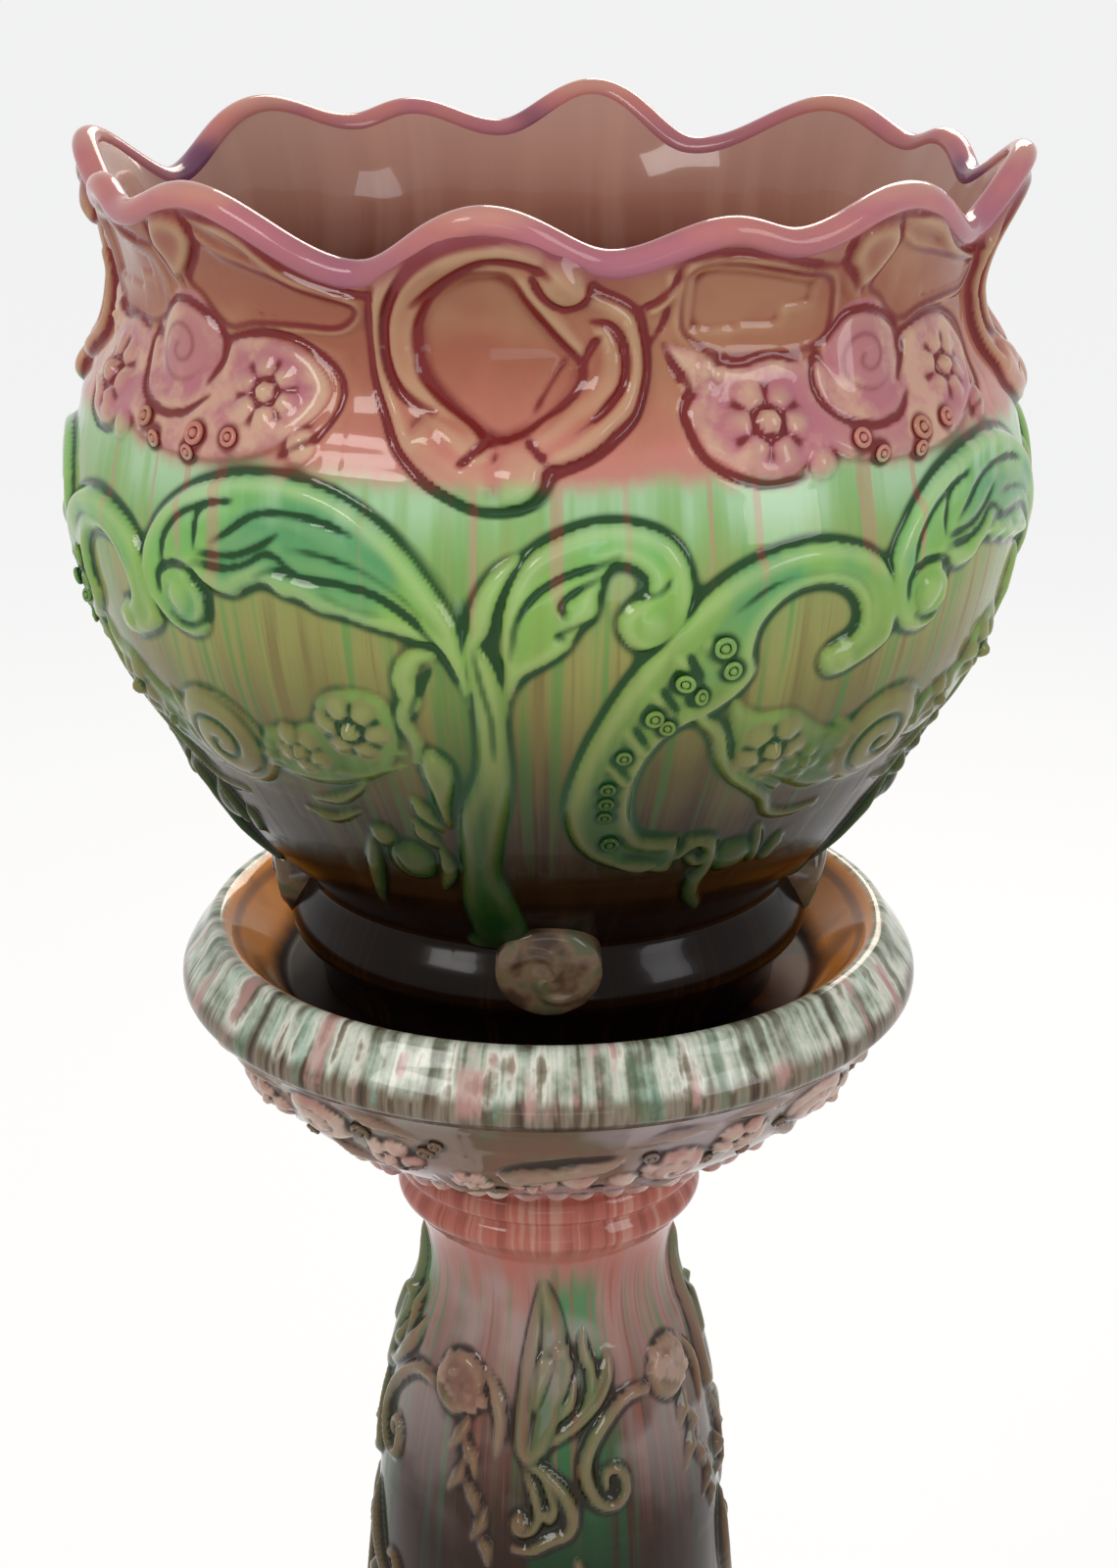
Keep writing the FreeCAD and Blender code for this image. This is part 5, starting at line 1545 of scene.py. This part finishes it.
class AddBowl(bpy.types.Operator):
    """Add the bowl's carved outside and its plain inside"""

    bl_idname = "jardiniere.add_bowl"
    bl_label = "Bowl"

    def execute(self, context):
        scene = context.scene
        places, _, _, marks = carved_bowl(scene.jardiniere_sizes.relief)
        normals = skin_normals(places)
        glaze = shared(bowl_glaze, scene.jardiniere_glazes, "running_bowl_glaze")
        third = len(places) // 3
        for name, first, last in (("bowl_foot", 0, third), ("bowl_body", third, 2 * third),
                                  ("bowl_neck", 2 * third, len(places) - 1)):
            rows = slice(first, last + 1)
            piece = make_skin(name, places[rows], normals[rows],
                              {mark: field[rows] for mark, field in marks.items()})
            finish_piece(piece, glaze, "bowl", "jardiniere" if name == "bowl_body" else None)
        finish_piece(build_bowl_inside(), inside_glaze(scene.jardiniere_glazes), "bowl")
        return {"FINISHED"}


class AddLip(bpy.types.Operator):
    """Add the rolled lip along the bowl's waved rim"""

    bl_idname = "jardiniere.add_lip"
    bl_label = "Lip"

    def execute(self, context):
        glaze = lip_glaze()
        lip = build_lip(glaze, context.scene.jardiniere_sizes.lip / 2 / MM)
        finish_piece(lip, glaze, "bowl")
        return {"FINISHED"}


class AddRosettes(bpy.types.Operator):
    """Add the curled buttons round the bowl's foot"""

    bl_idname = "jardiniere.add_rosettes"
    bl_label = "Rosettes"

    def execute(self, context):
        glaze = rosette_glaze()
        rosettes = build_rosettes(glaze, context.scene.jardiniere_sizes.rosettes)
        finish_piece(rosettes, glaze, "bowl")
        return {"FINISHED"}


class AddStand(bpy.types.Operator):
    """Add the pedestal: dish, garlanded saucer, carved shaft, base and hollow"""

    bl_idname = "jardiniere.add_stand"
    bl_label = "Pedestal"

    def execute(self, context):
        glazes = context.scene.jardiniere_glazes
        run = shared(stand_glaze, glazes, "running_stand_glaze")
        for name, glaze in (("dish", dish_glaze(glazes)), ("saucer", run), ("shaft", run), ("base", run)):
            places, _, _, marks = carved_stand(name, context.scene.jardiniere_sizes.relief)
            piece = make_skin(name, places, skin_normals(places), marks)
            finish_piece(piece, glaze, "stand", "pedestal" if name == "dish" else None)
        hollow = even_rows(STAND_HOLLOW_LINE, HOLLOW_CELL)
        hollow[:, 1] = np.maximum(hollow[:, 1], FLOOR_GAP)
        degrees = -np.arange(HOLLOW_COLUMNS) * 360 / HOLLOW_COLUMNS
        piece = make_skin("stand_hollow", turned_places(hollow[:, :1], degrees[None], hollow[:, 1:]))
        finish_piece(piece, hollow_glaze(), "stand")
        return {"FINISHED"}


class AddBeads(bpy.types.Operator):
    """Add the ringed beads among the bowl's scrolls and in the saucer's garland"""

    bl_idname = "jardiniere.add_beads"
    bl_label = "Ringed beads"

    def execute(self, context):
        glazes = context.scene.jardiniere_glazes
        relief = context.scene.jardiniere_sizes.relief
        bowl = shared(bowl_glaze, glazes, "running_bowl_glaze")
        stand = shared(stand_glaze, glazes, "running_stand_glaze")
        for name, rings, carved, glaze, body in (
                ("bowl_rings", RINGS, carved_bowl(relief), bowl, "bowl"),
                ("saucer_rings", SAUCER_RINGS, carved_stand("saucer", relief), stand, "stand")):
            piece = build_rings(name, rings, *carved[:3], ring_bead_tree(glaze))
            finish_piece(piece, glaze, body)
        return {"FINISHED"}


class AddStage(bpy.types.Operator):
    """Add the pale floor, the soft lamps and the camera"""

    bl_idname = "jardiniere.add_stage"
    bl_label = "Stage"

    def execute(self, context):
        stage = context.scene.jardiniere_stage
        context.scene.view_settings.view_transform = "Standard"
        add_floor()
        add_sky(stage.sky)
        add_lamp("key", (-1.7, -1.7, 2.3), (1.0, 0.8), stage.key_power, (1.0, 0.98, 0.95))
        add_lamp("fill", (1.9, -1.4, 1.5), (0.8, 1.1), stage.fill_power, (0.97, 0.98, 1.0))
        add_lamp("low_front", (0.1, -2.6, 0.45), (1.5, 0.4), 0.25 * stage.fill_power, (0.80, 0.88, 1.0))
        add_lamp("behind", (0.5, 1.9, 2.0), (1.2, 1.0), 1.7 * stage.fill_power, (1.0, 0.88, 0.74))
        add_camera(context.scene)
        return {"FINISHED"}


def background_rays(net):
    """1 for the rays that see the background, straight or in a reflection."""
    rays = net.add("ShaderNodeLightPath")
    seen = rays.output("Is Camera Ray") + rays.output("Is Glossy Ray") + rays.output("Is Transmission Ray")
    return seen.math("MINIMUM", seen, 1.0)


def add_floor():
    """A wide pale floor that is white to the camera and keeps the object's shadow."""
    mesh = bpy.data.meshes.new("floor")
    corners = [(x * FLOOR_REACH, y * FLOOR_REACH, 0) for x, y in ((-1, -1), (1, -1), (1, 1), (-1, 1))]
    mesh.from_pydata(corners, [], [(0, 1, 2, 3)])
    material = bpy.data.materials.new("pale_floor")
    net = cleared_net(material)
    matt = net.add("ShaderNodeBsdfDiffuse", None, {"Color": (0.86, 0.86, 0.86, 1.0)})
    white = net.add("ShaderNodeEmission", None, {"Color": WHITE, "Strength": 1.0})
    net.surface("ShaderNodeOutputMaterial", background_rays(net) * FLOOR_WHITE, matt, white)
    mesh.materials.append(material)
    return add_object("floor", mesh)


def add_sky(strength):
    """An even pale light from all round, white where the camera sees it."""
    world = bpy.data.worlds.new("pale_sky")
    net = cleared_net(world)
    soft = net.add("ShaderNodeBackground", None, {"Color": (0.95, 0.97, 1.0, 1.0), "Strength": strength})
    white = net.add("ShaderNodeBackground", None, {"Color": WHITE, "Strength": 1.0})
    net.surface("ShaderNodeOutputWorld", background_rays(net), soft, white)
    bpy.context.scene.world = world


def add_lamp(name, place, size, power, colour):
    """A soft rectangular lamp that faces the bowl."""
    lamp = bpy.data.lights.new(name, "AREA")
    lamp.shape = "RECTANGLE"
    lamp.size, lamp.size_y = size
    lamp.energy = power
    lamp.color = colour
    holder = add_object(name, lamp)
    holder.location = place
    holder.rotation_euler = (Vector(LAMP_AIM) - Vector(place)).to_track_quat("-Z", "Y").to_euler()


def add_camera(scene):
    """The camera stands as the photograph's did: a little above the rim, looking down at the bowl."""
    lens = bpy.data.cameras.new("camera")
    lens.sensor_width = SENSOR_WIDTH
    lens.lens = CAMERA_LENS
    camera = add_object("camera", lens)
    camera.location = CAMERA_PLACE
    camera.rotation_euler = (math.radians(CAMERA_TILT), 0, math.radians(CAMERA_TURN))
    scene.camera = camera


class JardinierePanel(bpy.types.Panel):
    """The operators and their settings, in the 3D view's sidebar"""

    bl_idname = "VIEW3D_PT_jardiniere"
    bl_label = "Jardiniere on stand"
    bl_space_type = "VIEW_3D"
    bl_region_type = "UI"
    bl_category = "Jardiniere"

    def draw(self, context):
        for operator in OPERATORS:
            self.layout.operator(operator.bl_idname)
        for group in (getattr(context.scene, name) for name in GROUPS):
            for name in group.bl_rna.properties.keys():
                if name not in ("rna_type", "name"):
                    self.layout.prop(group, name)


GROUPS = {"jardiniere_sizes": JardiniereSizes, "jardiniere_glazes": JardiniereGlazes,
          "jardiniere_stage": JardiniereStage}
OPERATORS = (AddBowl, AddLip, AddRosettes, AddStand, AddBeads, AddStage)


def register():
    for kind in (*GROUPS.values(), *OPERATORS, JardinierePanel):
        bpy.utils.register_class(kind)
    for name, kind in GROUPS.items():
        setattr(bpy.types.Scene, name, bpy.props.PointerProperty(type=kind))


def unregister():
    for name in GROUPS:
        delattr(bpy.types.Scene, name)
    for kind in (JardinierePanel, *OPERATORS, *GROUPS.values()):
        bpy.utils.unregister_class(kind)


def main():
    register()
    bpy.ops.jardiniere.add_stage()
    bpy.ops.jardiniere.add_bowl()
    bpy.ops.jardiniere.add_lip()
    bpy.ops.jardiniere.add_rosettes()
    bpy.ops.jardiniere.add_stand()
    bpy.ops.jardiniere.add_beads()


if __name__ == "__main__":
    main()
